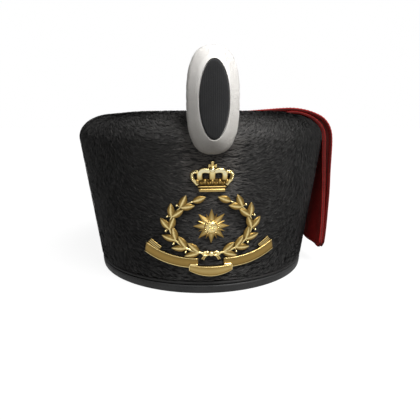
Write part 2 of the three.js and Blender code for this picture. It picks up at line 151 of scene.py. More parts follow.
def add_node(tree, kind, sockets=None, **settings):
    """Adds a node with its settings and with values on its input sockets."""
    node = tree.nodes.new(kind)
    for name, value in settings.items():
        setattr(node, name, value)
    for socket, value in (sockets or {}).items():
        node.inputs[socket].default_value = value
    return node


def add_ramp(tree, source, *stops):
    """Colours over a value from 0 to 1, given as stops of (place, (red, green, blue))."""
    ramp = add_node(tree, "ShaderNodeValToRGB")
    points = ramp.color_ramp.elements
    while len(points) < len(stops):
        points.new(0.5)
    for point, (place, colour) in zip(points, stops):
        point.position = place
        point.color = (*colour, 1)
    tree.links.new(source, ramp.inputs["Fac"])
    return ramp.outputs["Color"]


def colour_over(tree, shader, tone, *stops):
    """Colours a shader over a tone from 0 to 1, by stops as in add_ramp."""
    tree.links.new(add_ramp(tree, tone, *stops), shader.inputs["Base Color"])


def add_bump(tree, shader, height, strength, distance_mm):
    """Raises a shader's normal by a height that runs from 0 to 1 over this distance."""
    bump = add_node(tree, "ShaderNodeBump", {"Strength": strength, "Distance": distance_mm * MM})
    tree.links.new(height, bump.inputs["Height"])
    tree.links.new(bump.outputs["Normal"], shader.inputs["Normal"])


def new_group(name, per_metre):
    """A shared effect: a node group that scales its Vector by an input of this name, and gives a Tone and a
    Height. Returns the group, the scaled vector and the group's output node."""
    group = bpy.data.node_groups.new(name, "ShaderNodeTree")
    group.interface.new_socket("Vector", in_out="INPUT", socket_type="NodeSocketVector")
    group.interface.new_socket(per_metre, in_out="INPUT", socket_type="NodeSocketFloat")
    for socket in ("Tone", "Height"):
        group.interface.new_socket(socket, in_out="OUTPUT", socket_type="NodeSocketFloat")
    entry = group.nodes.new("NodeGroupInput")
    scaled = add_node(group, "ShaderNodeVectorMath", operation="SCALE")
    group.links.new(entry.outputs["Vector"], scaled.inputs[0])
    group.links.new(entry.outputs[per_metre], scaled.inputs["Scale"])
    return group, scaled.outputs["Vector"], group.nodes.new("NodeGroupOutput")


def add_group(tree, group, vector, sockets):
    """Places a shared effect in a material, over a vector and with its own values."""
    node = add_node(tree, "ShaderNodeGroup", node_tree=group)
    for socket, value in sockets.items():
        node.inputs[socket].default_value = value
    tree.links.new(vector, node.inputs["Vector"])
    return node


def blend_heights(tree, first, second, share):
    """Two values mixed, with the second taking this share."""
    mixed = add_node(tree, "ShaderNodeMix", {"Factor": share}, data_type="FLOAT")
    tree.links.new(first, mixed.inputs["A"])
    tree.links.new(second, mixed.inputs["B"])
    return mixed.outputs["Result"]


# Felted fibres: short matted hairs over broad, soft patches, for wool, hair and skin. At other scales they
# mottle metal and the floor.
matted, fibre_vector, matted_out = new_group("matted_fibres", "Fibres per metre")
fine_fibres = add_node(matted, "ShaderNodeTexNoise",
                       {"Scale": 1.0, "Detail": 5.0, "Roughness": 0.65, "Distortion": 1.6})
broad_patches = add_node(matted, "ShaderNodeTexNoise", {"Scale": 0.045, "Detail": 3.0, "Roughness": 0.6})
for texture in (fine_fibres, broad_patches):
    matted.links.new(fibre_vector, texture.inputs["Vector"])
matted.links.new(blend_heights(matted, fine_fibres.outputs["Fac"], broad_patches.outputs["Fac"], 0.45),
                 matted_out.inputs["Tone"])
matted.links.new(fine_fibres.outputs["Fac"], matted_out.inputs["Height"])


def matted_finish(name, sockets, per_metre):
    """A finish with matted fibres. Returns it, its tree, its shader, its place and the fibres."""
    finish, tree, shader = new_finish(name, sockets)
    place = add_node(tree, "ShaderNodeTexCoord").outputs["Object"]
    fibres = add_group(tree, matted, place, {"Fibres per metre": per_metre})
    return finish, tree, shader, place, fibres


UNDERCOAT_DARK = (0.016, 0.0157, 0.0154)
UNDERCOAT_LIGHT = (0.038, 0.037, 0.036)
# The undercoat takes painted light in a round patch at the front, below the pompon
UNDERCOAT_PAINTED_LIGHT = (0.066, 0.0645, 0.063)
PAINTED_LIGHT_CENTRE = (0, -118, 82)
PAINTED_LIGHT_REACH = 80
undercoat, tree, shader, place, fibres = matted_finish(
    "black_undercoat", {"Roughness": 0.9, "Specular IOR Level": 0.2}, 900.0)
to_front = add_node(tree, "ShaderNodeMapping", {
    "Location": TO_FRAME @ Vector(PAINTED_LIGHT_CENTRE), "Scale": Vector((1, 1, 1)) * PAINTED_LIGHT_REACH * MM,
}, vector_type="TEXTURE")
painted_light_patch = add_node(tree, "ShaderNodeTexGradient", gradient_type="SPHERICAL")
tree.links.new(place, to_front.inputs["Vector"])
tree.links.new(to_front.outputs["Vector"], painted_light_patch.inputs["Vector"])
coat_tone = blend_heights(tree, fibres.outputs["Tone"], painted_light_patch.outputs["Fac"], 0.5)
colour_over(tree, shader, coat_tone, (0.15, UNDERCOAT_DARK), (0.35, UNDERCOAT_LIGHT), (0.8, UNDERCOAT_PAINTED_LIGHT))
add_bump(tree, shader, fibres.outputs["Height"], 0.8, 0.8)

SKIN_DARK = (0.018, 0.014, 0.011)
SKIN_LIGHT = (0.05, 0.04, 0.032)
bare_skin, tree, shader, place, fibres = matted_finish(
    "bare_skin_side", {"Roughness": 0.75, "Specular IOR Level": 0.3}, 350.0)
colour_over(tree, shader, fibres.outputs["Tone"], (0.3, SKIN_DARK), (0.75, SKIN_LIGHT))
add_bump(tree, shader, fibres.outputs["Height"], 0.5, 0.4)

ceiling_z = CROWN_PLATE_Z - CROWN_PLATE
inner_half_width = fur_half_width(WIDEST_Z) - PELT - PILE
foot_half_width = fur_half_width(PELT_FOOT_Z) - PILE
pelt = turned([
    (0, ceiling_z),
    *arc(RECESS_HALF_WIDTH, WIDEST_Z, inner_half_width - RECESS_HALF_WIDTH, ceiling_z - WIDEST_Z, 90, 0, 8),
    (foot_half_width - PELT, PELT_FOOT_Z),
    (foot_half_width, PELT_FOOT_Z),
    (fur_half_width(PILE_HEM_Z) - PILE, PILE_HEM_Z),
    (fur_half_width(PILE_HEM_Z + 1) - UNDERCOAT_DEPTH, PILE_HEM_Z + 1),
    *arc(RIDGE_HALF_WIDTH, WIDEST_Z, WIDEST_HALF_WIDTH - RIDGE_HALF_WIDTH - UNDERCOAT_DEPTH,
         RIDGE_Z - WIDEST_Z - UNDERCOAT_DEPTH, 0, 90, 14),
    *arc(RIDGE_HALF_WIDTH, CROWN_PLATE_Z, RIDGE_HALF_WIDTH - RECESS_HALF_WIDTH - UNDERCOAT_DEPTH,
         RIDGE_Z - CROWN_PLATE_Z - UNDERCOAT_DEPTH, 90, 180, 6)[1:],
    (0, CROWN_PLATE_Z),
], PELT_STEPS)
for face in pelt.faces:
    middle = face.calc_center_median()
    faces_axis = middle.x * face.normal.x + middle.y * face.normal.y < -1e-6
    in_the_hollow = middle.z < ceiling_z + 0.1 and (faces_axis or face.normal.z < -0.9)
    face.material_index = 1 if in_the_hollow else 0
drum = make_piece("fur_pelt", pelt, undercoat, bare_skin)
fit(drum, "fur", "fur_body")


# Fur pile
# Short guard hairs in combed tufts, rooted in the pelt and lying close on it. They fall from the shoulder,
# sweep in towards the middle of the front, and are trimmed to a hem above the rim.
TUFTS = 58000
HAIRS_IN_TUFT = 3
TUFT_HALF_WIDTH = 0.4
TUFT_HALF_LENGTH = 1.0
TUFT_TIP_SHARE = 0.6
TUFT_LENGTHS = (3.2, 5.2)
RIDGE_SHORTENING = 0.35
HAIR_LENGTH_SHARES = (0.85, 1.1)
HAIR_HALF_WIDTHS = (0.12, 0.2)
HAIR_ROLL = 0.12
HEM_TRIM = 1.2
ROOT_DEPTH = 1.2
MIDDLE_DEPTH = 0.2
TIP_DEPTH = -0.05
DEPTH_SPREAD = 0.1
DEPTH_LIMITS = (-0.15, 2)
RIDGE_LOFT = 1.1
RIDGE_LOFT_REACH = 7.0
TUFT_LEAN = math.radians(7)
# How steeply the hair falls: in the middle of the front, more at its sides, on the shoulder, and elsewhere
MIDDLE_FALL = math.radians(4)
SIDE_FALL = math.radians(84)
SHOULDER_FALL = math.radians(72)
STRAIGHT_FALL = math.radians(90)
# Waves in the fall: size, number round the hat, drift with height, and start
FALL_WAVES = [(math.radians(10), 5, 0.07, 0), (math.radians(9), 13, -0.1, 2)]
HEM_FALL_SHARE = 0.4
PARTING = 0.15
# Bands in which the coat changes. RISE bands are distances up from the hem, or from the widest line for the
# shoulder. The others are shares of the hat's half depth or half width.
FALL_FRONT = (0.0, 0.45)
FALL_ASIDE = (0.36, 0.88)
FALL_RISE = (5, 95)
FALL_SHOULDER_RISE = (-6, 22)
# Bands of painted light at the front: a pool in the middle, a sheen on the shoulder, a lift under the pompon
PAINTED_LIGHT_FRONT = (0.1, 0.8)
PAINTED_LIGHT_ASIDE = (0.1, 0.75)
PAINTED_SHEEN_RISE = (-20, 15)
UNDER_POMPON_ASIDE = (0.08, 0.26)
UNDER_POMPON_FROM_RISE = (55, 75)
UNDER_POMPON_TO_RISE = (100, 118)
BESIDE_BAG = (0.2, 0.6)
BESIDE_BAG_LOFT = 0.35
UNDER_BAG = (0.76, 0.88)
FAR_SIDE = (0.6, 0.9)
COAT_TONE = 0.36
TONE_SPREAD = 0.125
TONE_SPREAD_LOSS = 0.17
TONE_SPREAD_LIMITS = (0.03, 0.14)
# Strengths of painted light: the pool in the middle, the sheen on the shoulder, the lift of the pompon's
# shadow
MIDDLE_PAINTED_LIGHT = 0.43
SHOULDER_PAINTED_SHEEN = 0.05
UNDER_POMPON_PAINTED_LIGHT = 0.6
ALL_OVER_TONE = -0.05
GREY_TUFTS = 0.06
GREY_TONE = 0.1
TONE_WIDTH = 0.006
COAT_TONES = [
    (0.0, (0.012, 0.012, 0.012)),
    (0.3, (0.0262, 0.0258, 0.0253)),
    (0.6, (0.06, 0.0588, 0.0572)),
    (0.85, (0.098, 0.0945, 0.0905)),
    (1.0, (0.18, 0.169, 0.157)),
]


def travel_along(line):
    """Distance along a line to each of its points."""
    return np.concatenate([[0], np.cumsum(np.linalg.norm(np.diff(line, axis=0), axis=1))])


coat_line = np.array([
    (fur_half_width(PILE_HEM_Z), PILE_HEM_Z),
    *arc(RIDGE_HALF_WIDTH, WIDEST_Z, WIDEST_HALF_WIDTH - RIDGE_HALF_WIDTH, RIDGE_Z - WIDEST_Z, 0, 90, 24),
    *arc(RIDGE_HALF_WIDTH, CROWN_PLATE_Z, RIDGE_HALF_WIDTH - RECESS_HALF_WIDTH, RIDGE_Z - CROWN_PLATE_Z,
         90, 180, 8)[1:],
])
coat_rise = travel_along(coat_line)
coat_slope = np.gradient(coat_line, coat_rise, axis=0)
coat_slope /= np.linalg.norm(coat_slope, axis=1)[:, None]
widest_rise = coat_rise[1]
ridge_rise = np.interp(-RIDGE_HALF_WIDTH, -coat_line[1:, 0], coat_rise[1:])


def on_coat(turn, rise, depth):
    """Place in the coat: turn round the axis, distance up from the hem, depth under the outer surface."""
    half = np.interp(rise, coat_rise, coat_line[:, 0]) - depth * np.interp(rise, coat_rise, coat_slope[:, 1])
    z = np.interp(rise, coat_rise, coat_line[:, 1]) + depth * np.interp(rise, coat_rise, coat_slope[:, 0])
    return np.stack([half * np.cos(turn), DEPTH_RATIO * half * np.sin(turn), z], axis=-1)


def combed(turn, rise, draw):
    """How the hair lies: its step round the hat with the turn, and its step up the coat. In the middle of the
    front hair comes from both sides, by a draw from 0 to 1."""
    sideways = np.abs(np.cos(turn))
    at_front = ease(*FALL_FRONT, -np.sin(turn))
    height = HEM_FALL_SHARE + (1 - HEM_FALL_SHARE) * ease(*FALL_RISE, rise)
    fall = MIDDLE_FALL + SIDE_FALL * ease(*FALL_ASIDE, sideways) * height
    over_shoulder = ease(*FALL_SHOULDER_RISE, rise - widest_rise)
    fall += (SHOULDER_FALL - fall) * over_shoulder * (1 - sideways)
    fall = at_front * fall + (1 - at_front) * STRAIGHT_FALL
    for size, waves, drift, start in FALL_WAVES:
        fall += size * np.sin(waves * turn + drift * rise + start)
    to_middle = np.where(draw < 0.5 + 0.5 * np.tanh(np.cos(turn) / PARTING), -1, 1)
    return to_middle * np.cos(fall), -np.sin(fall)


def painted_coat_light(turn, rise):
    """Painted light on the hair: most under the pompon, where it lifts the shadow, and in the middle of the
    front.
    """
    at_front = ease(*PAINTED_LIGHT_FRONT, -np.sin(turn))
    aside = np.abs(np.cos(turn))
    middle = 1 - ease(*PAINTED_LIGHT_ASIDE, aside)
    shoulder = ease(*PAINTED_SHEEN_RISE, rise - widest_rise)
    under_pompon = ease(*UNDER_POMPON_FROM_RISE, rise) * (1 - ease(*UNDER_POMPON_TO_RISE, rise))
    under_pompon *= 1 - ease(*UNDER_POMPON_ASIDE, aside)
    lift = MIDDLE_PAINTED_LIGHT * middle + SHOULDER_PAINTED_SHEEN * shoulder + UNDER_POMPON_PAINTED_LIGHT * under_pompon
    return at_front * lift + ALL_OVER_TONE


def ridge_loft(turn, rise):
    """How far the hair stands up along the ridge: most beside the bag, not under it or at the far side."""
    near_ridge = np.exp(-(((rise - ridge_rise) / RIDGE_LOFT_REACH) ** 2))
    beside_bag = 1 + BESIDE_BAG_LOFT * ease(*BESIDE_BAG, np.cos(turn))
    under_bag = ease(*UNDER_BAG, np.cos(turn))
    far_side = ease(*FAR_SIDE, -np.cos(turn))
    return RIDGE_LOFT * near_ridge * beside_bag * (1 - under_bag) * (1 - far_side)


def unit(vectors):
    """Vectors brought to the length of one."""
    return vectors / np.linalg.norm(vectors, axis=-1)[..., None]


HAIR_FACES = np.array([(0, 1, 3), (0, 3, 2), (2, 3, 4)])
HAIR_EDGE = np.array([-1, 1, -1, 1, 0])
HAIR_ALONG = np.array([0.03, 0.03, 0.5, 0.5, 0.97])


def joined_piece(name, points, triangles, finish):
    """Joins many like shapes into one piece. Each has its own row of points in millimetres, and they share
    their triangles. Returns the piece and all its triangles."""
    first = points.shape[1] * np.arange(len(points))
    faces = (first[:, None, None] + triangles).reshape(-1, 3)
    mesh = bpy.data.meshes.new(name)
    mesh.from_pydata(points.reshape(-1, 3) * MM + np.array((hat_axis.x, hat_axis.y, 0)), [], faces)
    mesh.polygons.foreach_set("use_smooth", np.ones(len(faces), bool))
    mesh.update()
    mesh.materials.append(finish)
    return linked(name, mesh), faces


def hair_piece(name, rows, across, half_width, tone, finish):
    """Joins many hairs into one piece. A hair is a pointed blade on three rows of points, root to tip. Its
    map holds the hair's tone across and the way from root to tip along."""
    root, middle, tip = rows
    edge = across * half_width[:, None]
    points = np.stack([root - edge, root + edge, middle - edge, middle + edge, tip], axis=1)
    made, faces = joined_piece(name, points, HAIR_FACES, finish)
    tones = tone[:, None] + TONE_WIDTH * HAIR_EDGE
    spots = np.stack([tones, np.broadcast_to(HAIR_ALONG, tones.shape)], axis=-1).reshape(-1, 2)
    hair_map = made.data.uv_layers.new(name="OFBake").data
    hair_map.foreach_set("uv", spots[faces.ravel()].ravel().astype(np.float32))
    return made


def hair_finish(name, tones, root_painted_shade, sockets):
    """A finish for hairs: its tones over the hair's map, with painted shade towards the root."""
    finish, tree, shader = new_finish(name, sockets)
    spot = add_node(tree, "ShaderNodeSeparateXYZ")
    tree.links.new(add_node(tree, "ShaderNodeUVMap", uv_map="OFBake").outputs["UV"], spot.inputs["Vector"])
    colour = add_ramp(tree, spot.outputs["X"], *tones)
    shade = add_ramp(tree, spot.outputs["Y"], (0.0, (root_painted_shade,) * 3), (0.7, (1, 1, 1)))
    mixed = add_node(tree, "ShaderNodeMix", {"Factor": 1.0}, data_type="RGBA", blend_type="MULTIPLY")
    tree.links.new(colour, mixed.inputs[6])
    tree.links.new(shade, mixed.inputs[7])
    tree.links.new(mixed.outputs[2], shader.inputs["Base Color"])
    return finish


rng = np.random.default_rng(11)
even_rise = np.linspace(0, coat_rise[-1], 400)
hair_share = np.interp(even_rise, coat_rise, coat_line[:, 0]) * (1 + 0.5 * ease(100, 115, even_rise))
hair_share = np.cumsum(hair_share)
tuft_rise = np.interp(rng.random(TUFTS), hair_share / hair_share[-1], even_rise)
tuft_turn = rng.uniform(-math.pi, math.pi, TUFTS)
# Painted light raises the tufts' tone at the front, most under the pompon's shadow
coat_painted_light = painted_coat_light(tuft_turn, tuft_rise)
tone_spread = np.clip(TONE_SPREAD - TONE_SPREAD_LOSS * coat_painted_light, *TONE_SPREAD_LIMITS)
tuft_tone = np.clip(COAT_TONE + coat_painted_light + rng.normal(0, 1, TUFTS) * tone_spread, 0.05, 0.95)
tuft_tone += GREY_TONE * (rng.random(TUFTS) < GREY_TUFTS)
tuft_tip_depth = np.abs(rng.normal(0, DEPTH_SPREAD, TUFTS))
tuft_length = rng.uniform(*TUFT_LENGTHS, TUFTS)
tuft_length *= 1 - RIDGE_SHORTENING * ease(widest_rise, ridge_rise, tuft_rise)
tuft_lean = rng.normal(0, TUFT_LEAN, TUFTS)

in_tuft = np.repeat(np.arange(TUFTS), HAIRS_IN_TUFT)
hairs = len(in_tuft)
around, upward = combed(tuft_turn, tuft_rise, rng.random(TUFTS))
around, upward = (around * np.cos(tuft_lean) - upward * np.sin(tuft_lean),
                  around * np.sin(tuft_lean) + upward * np.cos(tuft_lean))
around, upward = around[in_tuft], upward[in_tuft]
turn, rise = tuft_turn[in_tuft], tuft_rise[in_tuft]
half = np.interp(rise, coat_rise, coat_line[:, 0])
turn_per_mm = 1 / np.hypot(half * np.sin(turn), DEPTH_RATIO * half * np.cos(turn))
beside = rng.uniform(-TUFT_HALF_WIDTH, TUFT_HALF_WIDTH, hairs)
ahead = rng.uniform(-TUFT_HALF_LENGTH, TUFT_HALF_LENGTH, hairs)
length = tuft_length[in_tuft] * rng.uniform(*HAIR_LENGTH_SHARES, hairs)
trimmed = rng.uniform(0.0, HEM_TRIM, hairs)


def along_hair(share, depth, aside=0.0):
    """Points on every hair at a share of its length, drawn together towards the tuft's tip."""
    forward = ahead + length * share
    lateral = beside * (1 - (1 - TUFT_TIP_SHARE) * share) + aside
    hair_turn = turn + (around * forward - upward * lateral) * turn_per_mm
    hair_rise = np.clip(rise + upward * forward + around * lateral, trimmed, coat_rise[-1])
    return on_coat(hair_turn, hair_rise, depth - min(1, 2 * share) * ridge_loft(hair_turn, hair_rise))


middle_depth = np.clip(rng.normal(MIDDLE_DEPTH, DEPTH_SPREAD, hairs), *DEPTH_LIMITS)
tip_depth = tuft_tip_depth[in_tuft] + rng.normal(TIP_DEPTH, DEPTH_SPREAD, hairs)
tip_depth = np.clip(tip_depth, *DEPTH_LIMITS)
hair_rows = (along_hair(0.0, ROOT_DEPTH), along_hair(0.5, middle_depth), along_hair(1.0, tip_depth))
hair_across = unit(along_hair(0.5, 1.0, 0.5) - along_hair(0.5, 1.0, -0.5))
hair_up = unit(along_hair(0.5, 0.5) - along_hair(0.5, 1.5))
hair_roll = rng.normal(0, HAIR_ROLL, hairs)[:, None]
hair_across = hair_across * np.cos(hair_roll) + hair_up * np.sin(hair_roll)
hair_half_width = rng.uniform(*HAIR_HALF_WIDTHS, hairs)
hair_tone = np.clip(tuft_tone[in_tuft] + rng.normal(0, 1, hairs) * tone_spread[in_tuft], 0.02, 0.97)

guard_hair = hair_finish("black_guard_hair", COAT_TONES, 0.75,
                         {"Roughness": 0.55, "Specular IOR Level": 0.16})
side_of_hat = np.floor((turn / (math.pi / 2) + 2.5) % 4).astype(int)
for number, side in enumerate(("right", "front", "left", "back")):
    chosen = side_of_hat == number
    pile = hair_piece(f"fur_pile_{side}", [row[chosen] for row in hair_rows], hair_across[chosen],
                      hair_half_width[chosen], hair_tone[chosen], guard_hair)
    fit(pile, "fur")


# Rim binding
# A strip of dark, satin leather folded under the pelt's lower edge, with a lining turned up inside. It is
# sewn through near its upper edge with a row of waxed black thread.
BAND_HEIGHT = 6.5
BAND_SOLE = 1.8
BAND_LINING = 1.4
BAND_LINING_HEIGHT = 9.0
BAND_ROUND = 0.9
BAND_BULGE = 0.25
BAND_STEPS = 192
BAND_STITCH_Z = 5.0
STITCH_PITCH = 3.1
STITCH_LENGTH = 2.2
BAND_STITCH = 0.24
LEATHER_DARK = (0.012, 0.012, 0.012)
LEATHER_LIGHT = (0.027, 0.0266, 0.0262)
THREAD_COLOUR = (0.022, 0.022, 0.022)

# Leather grain: small closed cells with creases between them, over slow changes of tone
grain, cell_vector, grain_out = new_group("leather_grain", "Cells per metre")
cells = add_node(grain, "ShaderNodeTexVoronoi", {"Scale": 1.0, "Randomness": 1.0}, feature="DISTANCE_TO_EDGE")
creases = add_node(grain, "ShaderNodeMapRange", {"From Min": 0.0, "From Max": 0.25})
wear_patches = add_node(grain, "ShaderNodeTexNoise", {"Scale": 0.08, "Detail": 4.0, "Roughness": 0.6})
for texture in (cells, wear_patches):
    grain.links.new(cell_vector, texture.inputs["Vector"])
grain.links.new(cells.outputs["Distance"], creases.inputs["Value"])
grain.links.new(creases.outputs["Result"], grain_out.inputs["Height"])
grain.links.new(blend_heights(grain, creases.outputs["Result"], wear_patches.outputs["Fac"], 0.75),
                grain_out.inputs["Tone"])

leather, tree, shader = new_finish("binding_leather", {"Specular IOR Level": 0.4})
place = add_node(tree, "ShaderNodeTexCoord").outputs["Object"]
cells = add_group(tree, grain, place, {"Cells per metre": 1100.0})
colour_over(tree, shader, cells.outputs["Tone"], (0.3, LEATHER_DARK), (0.75, LEATHER_LIGHT))
gloss = add_node(tree, "ShaderNodeMapRange", {"To Min": 0.62, "To Max": 0.46})
tree.links.new(cells.outputs["Tone"], gloss.inputs["Value"])
tree.links.new(gloss.outputs["Result"], shader.inputs["Roughness"])
add_bump(tree, shader, cells.outputs["Height"], 0.35, 0.15)


def band_outer(z):
    """Half width of the binding's outer face, which bulges and leans in a little."""
    bulge = BAND_BULGE * math.sin(math.pi * z / BAND_HEIGHT)
    return fur_half_width(z) - GAP * ease(0, BAND_HEIGHT, z) + bulge


def band_inner(z, depth):
    """Half width of a face of the binding at a depth inside the coat."""
    return fur_half_width(z) - depth


lining_outer = PELT + PILE + GAP
lining_inner = lining_outer + BAND_LINING
band_faces = [(band_outer(z), z) for z in np.linspace(BAND_ROUND, BAND_HEIGHT - BAND_ROUND, 7)]
band_foot = arc(band_outer(BAND_ROUND) - BAND_ROUND, BAND_ROUND, BAND_ROUND, BAND_ROUND, -90, 0, 4)
band_brow = arc(band_outer(BAND_HEIGHT - BAND_ROUND) - BAND_ROUND, BAND_HEIGHT - BAND_ROUND,
                BAND_ROUND, BAND_ROUND, 0, 90, 4)
band = turned([
    (band_inner(0, lining_inner), 0),
    *band_foot[:-1],
    *band_faces,
    *band_brow[1:],
    (band_inner(BAND_HEIGHT, PILE - GAP), BAND_HEIGHT),
    (band_inner(BAND_SOLE, PILE - GAP), BAND_SOLE),
    (band_inner(BAND_SOLE, lining_outer), BAND_SOLE),
    (band_inner(BAND_LINING_HEIGHT, lining_outer), BAND_LINING_HEIGHT),
    (band_inner(BAND_LINING_HEIGHT, lining_inner), BAND_LINING_HEIGHT),
    (band_inner(0, lining_inner), 0),
], BAND_STEPS)
binding = make_piece("rim_binding", band, leather)
fit(binding, "leather", "rim_band")


def joined_copies(name, template, places, finish):
    """Joins copies of a small mesh into one piece. A place is a matrix in millimetres."""
    points = np.array([vert.co for vert in template.verts])
    template.verts.index_update()
    triangles = np.array([[loop.vert.index for loop in loops] for loops in template.calc_loop_triangles()])
    template.free()
    turns = np.array([np.array(place)[:3, :3] for place in places])
    moves = np.array([np.array(place)[:3, 3] for place in places])
    placed = np.einsum("nij,vj->nvi", turns, points) + moves[:, None, :]
    return joined_piece(name, placed, triangles, finish)[0]


def stitch_shape(half_width):
    """One stitch: a short round bar that dips at its ends, along x with z outward."""
    shaped = bmesh.new()
    bmesh.ops.create_uvsphere(shaped, u_segments=8, v_segments=5, radius=1,
                              matrix=Matrix.Rotation(math.pi / 2, 4, "Y"))
    bmesh.ops.scale(shaped, vec=(STITCH_LENGTH / 2, half_width, half_width), verts=shaped.verts)
    return shaped


def frame_at(point, along, outward):
    """A matrix whose x runs along and whose z points outward at a point."""
    across = np.cross(outward, along)
    turn = Matrix(np.stack([along, across, outward], axis=1).tolist())
    return Matrix.Translation(point) @ turn.to_4x4()


def thread_finish(name, colour):
    """Twisted thread: fine slanting plies on a matt colour."""
    finish, tree, shader = new_finish(name, {"Roughness": 0.7, "Specular IOR Level": 0.3})
    place = add_node(tree, "ShaderNodeTexCoord").outputs["Object"]
    plies = add_node(tree, "ShaderNodeTexWave", {"Scale": 900.0, "Distortion": 2.0},
                     bands_direction="DIAGONAL")
    tree.links.new(place, plies.inputs["Vector"])
    dark = tuple(0.55 * part for part in colour)
    colour_over(tree, shader, plies.outputs["Fac"], (0.2, dark), (0.8, colour))
    add_bump(tree, shader, plies.outputs["Fac"], 0.6, 0.1)
    return finish


def round_the_hat(half_width, z, pitch):
    """Points at an even pitch round the oval at a half width and height, with their frames' sides."""
    angles = np.linspace(0, 2 * math.pi, 2001)
    ring = np.stack([half_width * np.cos(angles), DEPTH_RATIO * half_width * np.sin(angles)], axis=1)
    travel = travel_along(ring)
    count = round(travel[-1] / pitch)
    for at in np.interp(travel[-1] * np.arange(count) / count, travel, angles):
        point = np.array((half_width * math.cos(at), DEPTH_RATIO * half_width * math.sin(at), z))
        along = unit(np.array((-math.sin(at), DEPTH_RATIO * math.cos(at), 0.0)))
        outward = unit(np.array((DEPTH_RATIO * math.cos(at), math.sin(at), -FLARE)))
        yield point, along, outward


black_thread = thread_finish("waxed_black_thread", THREAD_COLOUR)
stitch_ring = round_the_hat(band_outer(BAND_STITCH_Z), BAND_STITCH_Z, STITCH_PITCH)
binding_stitches = joined_copies("rim_binding_stitches", stitch_shape(BAND_STITCH),
                                 [frame_at(*place) for place in stitch_ring], black_thread)
fit(binding_stitches, "leather")


# Rim piping
# A black cord, twisted from three plies, that lies in the step between the trimmed pile and the binding. It
# is sewn down from inside, so no stitch of it shows.
PIPING_RADIUS = 1.3
PIPING_Z = 8.2
PIPING_PLIES = 3
PIPING_TURNS = 92
PIPING_PLY_DEPTH = 0.16
PIPING_SIDES = 18
PIPING_STEPS = 12 * PIPING_TURNS
CORD_DARK = (0.004, 0.004, 0.004)
CORD_LIGHT = (0.022, 0.021, 0.02)

cord, tree, shader, place, fibres = matted_finish(
    "black_piping_cord", {"Roughness": 0.62, "Specular IOR Level": 0.35}, 2200.0)
colour_over(tree, shader, fibres.outputs["Tone"], (0.3, CORD_DARK), (0.7, CORD_LIGHT))
add_bump(tree, shader, fibres.outputs["Height"], 0.5, 0.15)

piping_half_width = fur_half_width(PIPING_Z) - PILE + GAP + PIPING_RADIUS
piping = turned(arc(piping_half_width, PIPING_Z, PIPING_RADIUS, PIPING_RADIUS, 0, 360, PIPING_SIDES),
                PIPING_STEPS)
for vert in piping.verts:
    angle = math.atan2(vert.co.y / DEPTH_RATIO, vert.co.x)
    spoke = math.hypot(vert.co.x, vert.co.y / DEPTH_RATIO)
    side = math.atan2(vert.co.z - PIPING_Z, spoke - piping_half_width)
    ply = abs(math.sin(PIPING_PLIES / 2 * side + PIPING_PLIES * PIPING_TURNS / 2 * angle))
    shrink = 1 - PIPING_PLY_DEPTH * (1 - ply) ** 2
    new_spoke = piping_half_width + (spoke - piping_half_width) * shrink
    vert.co.x *= new_spoke / spoke
    vert.co.y *= new_spoke / spoke
    vert.co.z = PIPING_Z + (vert.co.z - PIPING_Z) * shrink
piping_cord = make_piece("rim_piping_cord", piping, cord)
fit(piping_cord, "cord", "rim_piping")


# Bag of red wool cloth
# Two leaves of fulled cloth with thicker, sewn hems and edges darkened by painted shade. The inner one lies
# on the left shoulder and hangs, and its back carries painted light that lifts its shade. The outer one
# covers the crown and falls outside it. A duller strip, set in from the edges, joins them down the fall and
# over the shoulder.
CLOTH = 1.7
HEM_CLOTH = 2.7
HEM = 4.0
HEM_GROWTH = 34.0
INNER_HEM_FROM = 48.0
HEM_ROUND = 1.2
OUTER_EDGE_THINNING = 0.55
THIN_SHARE = 0.3
GUIDE_STEPS = 24
INNER_LEAF_STEPS = (68, 44)
OUTER_LEAF_STEPS = (130, 48)
EDGE_CROWDING = 1.6
END_CROWDING = 1.25
CLOTH_LIFT = GAP + 0.2
BAG_HALF_WIDTH = 47.0
BAG_END_HALF_WIDTH = 45.0
BAG_END_Z = 15.0
BAG_CORNER = 7.0
BAG_CORNER_TRIM = 3.5
BAG_FILLET = 6.0
CROWN_CLOTH_MARGIN = 2.0
CROWN_EDGE_DROP = 1.0
CROWN_BEND_START_X = 20.0
CROWN_FOLD = 0.55
HUNG_FOLD = 0.9
HEM_STITCH = 0.3
HEM_STITCH_INSET = HEM - 1.2
HEM_STITCH_PROUD = 0.4
OUTER_STITCHES_FROM = 20.0
INNER_STITCHES_FROM = 60.0
WEB_STEPS = (150, 6)
WEB_INSET = 4.4
WEB_CLOTH = 1.6
WEB_DIP = 1.2
WEB_TOP_INSET = 14.0
WEB_TURN_IN = 0.9
WEB_CREST = 0.75
WEB_FALL_TOP = WIDEST_Z + 4
WEB_END_X = 92.0
OUTER_LEAF_SECTIONS = [
    (-73.4, 131.2), (-40, 132), (0, 132.9), (40, 134.7), (70, 136.7), (84, 136.9),
    (98, 134.2), (110, 128), (116.2, 117), (114.9, 78), (110.8, 44), (107.4, BAG_END_Z),
]
INNER_LEAF_SECTIONS = [
    (RECESS_HALF_WIDTH - 4, RIDGE_Z - 1.9), (RECESS_HALF_WIDTH + 1, RIDGE_Z - 0.6),
    *arc(RIDGE_HALF_WIDTH, WIDEST_Z, WIDEST_HALF_WIDTH - RIDGE_HALF_WIDTH + CLOTH_LIFT,
         RIDGE_Z - WIDEST_Z + CLOTH_LIFT, 90, 0, 8),
    (109.3, 102), (108.7, 80), (106, 46), (103, BAG_END_Z),
]
CLOTH_STOPS = (0.28, 0.5, 0.75)
OUTER_RED = ((0.16, 0.0068, 0.006), (0.29, 0.0128, 0.0112), (0.4, 0.0215, 0.018))
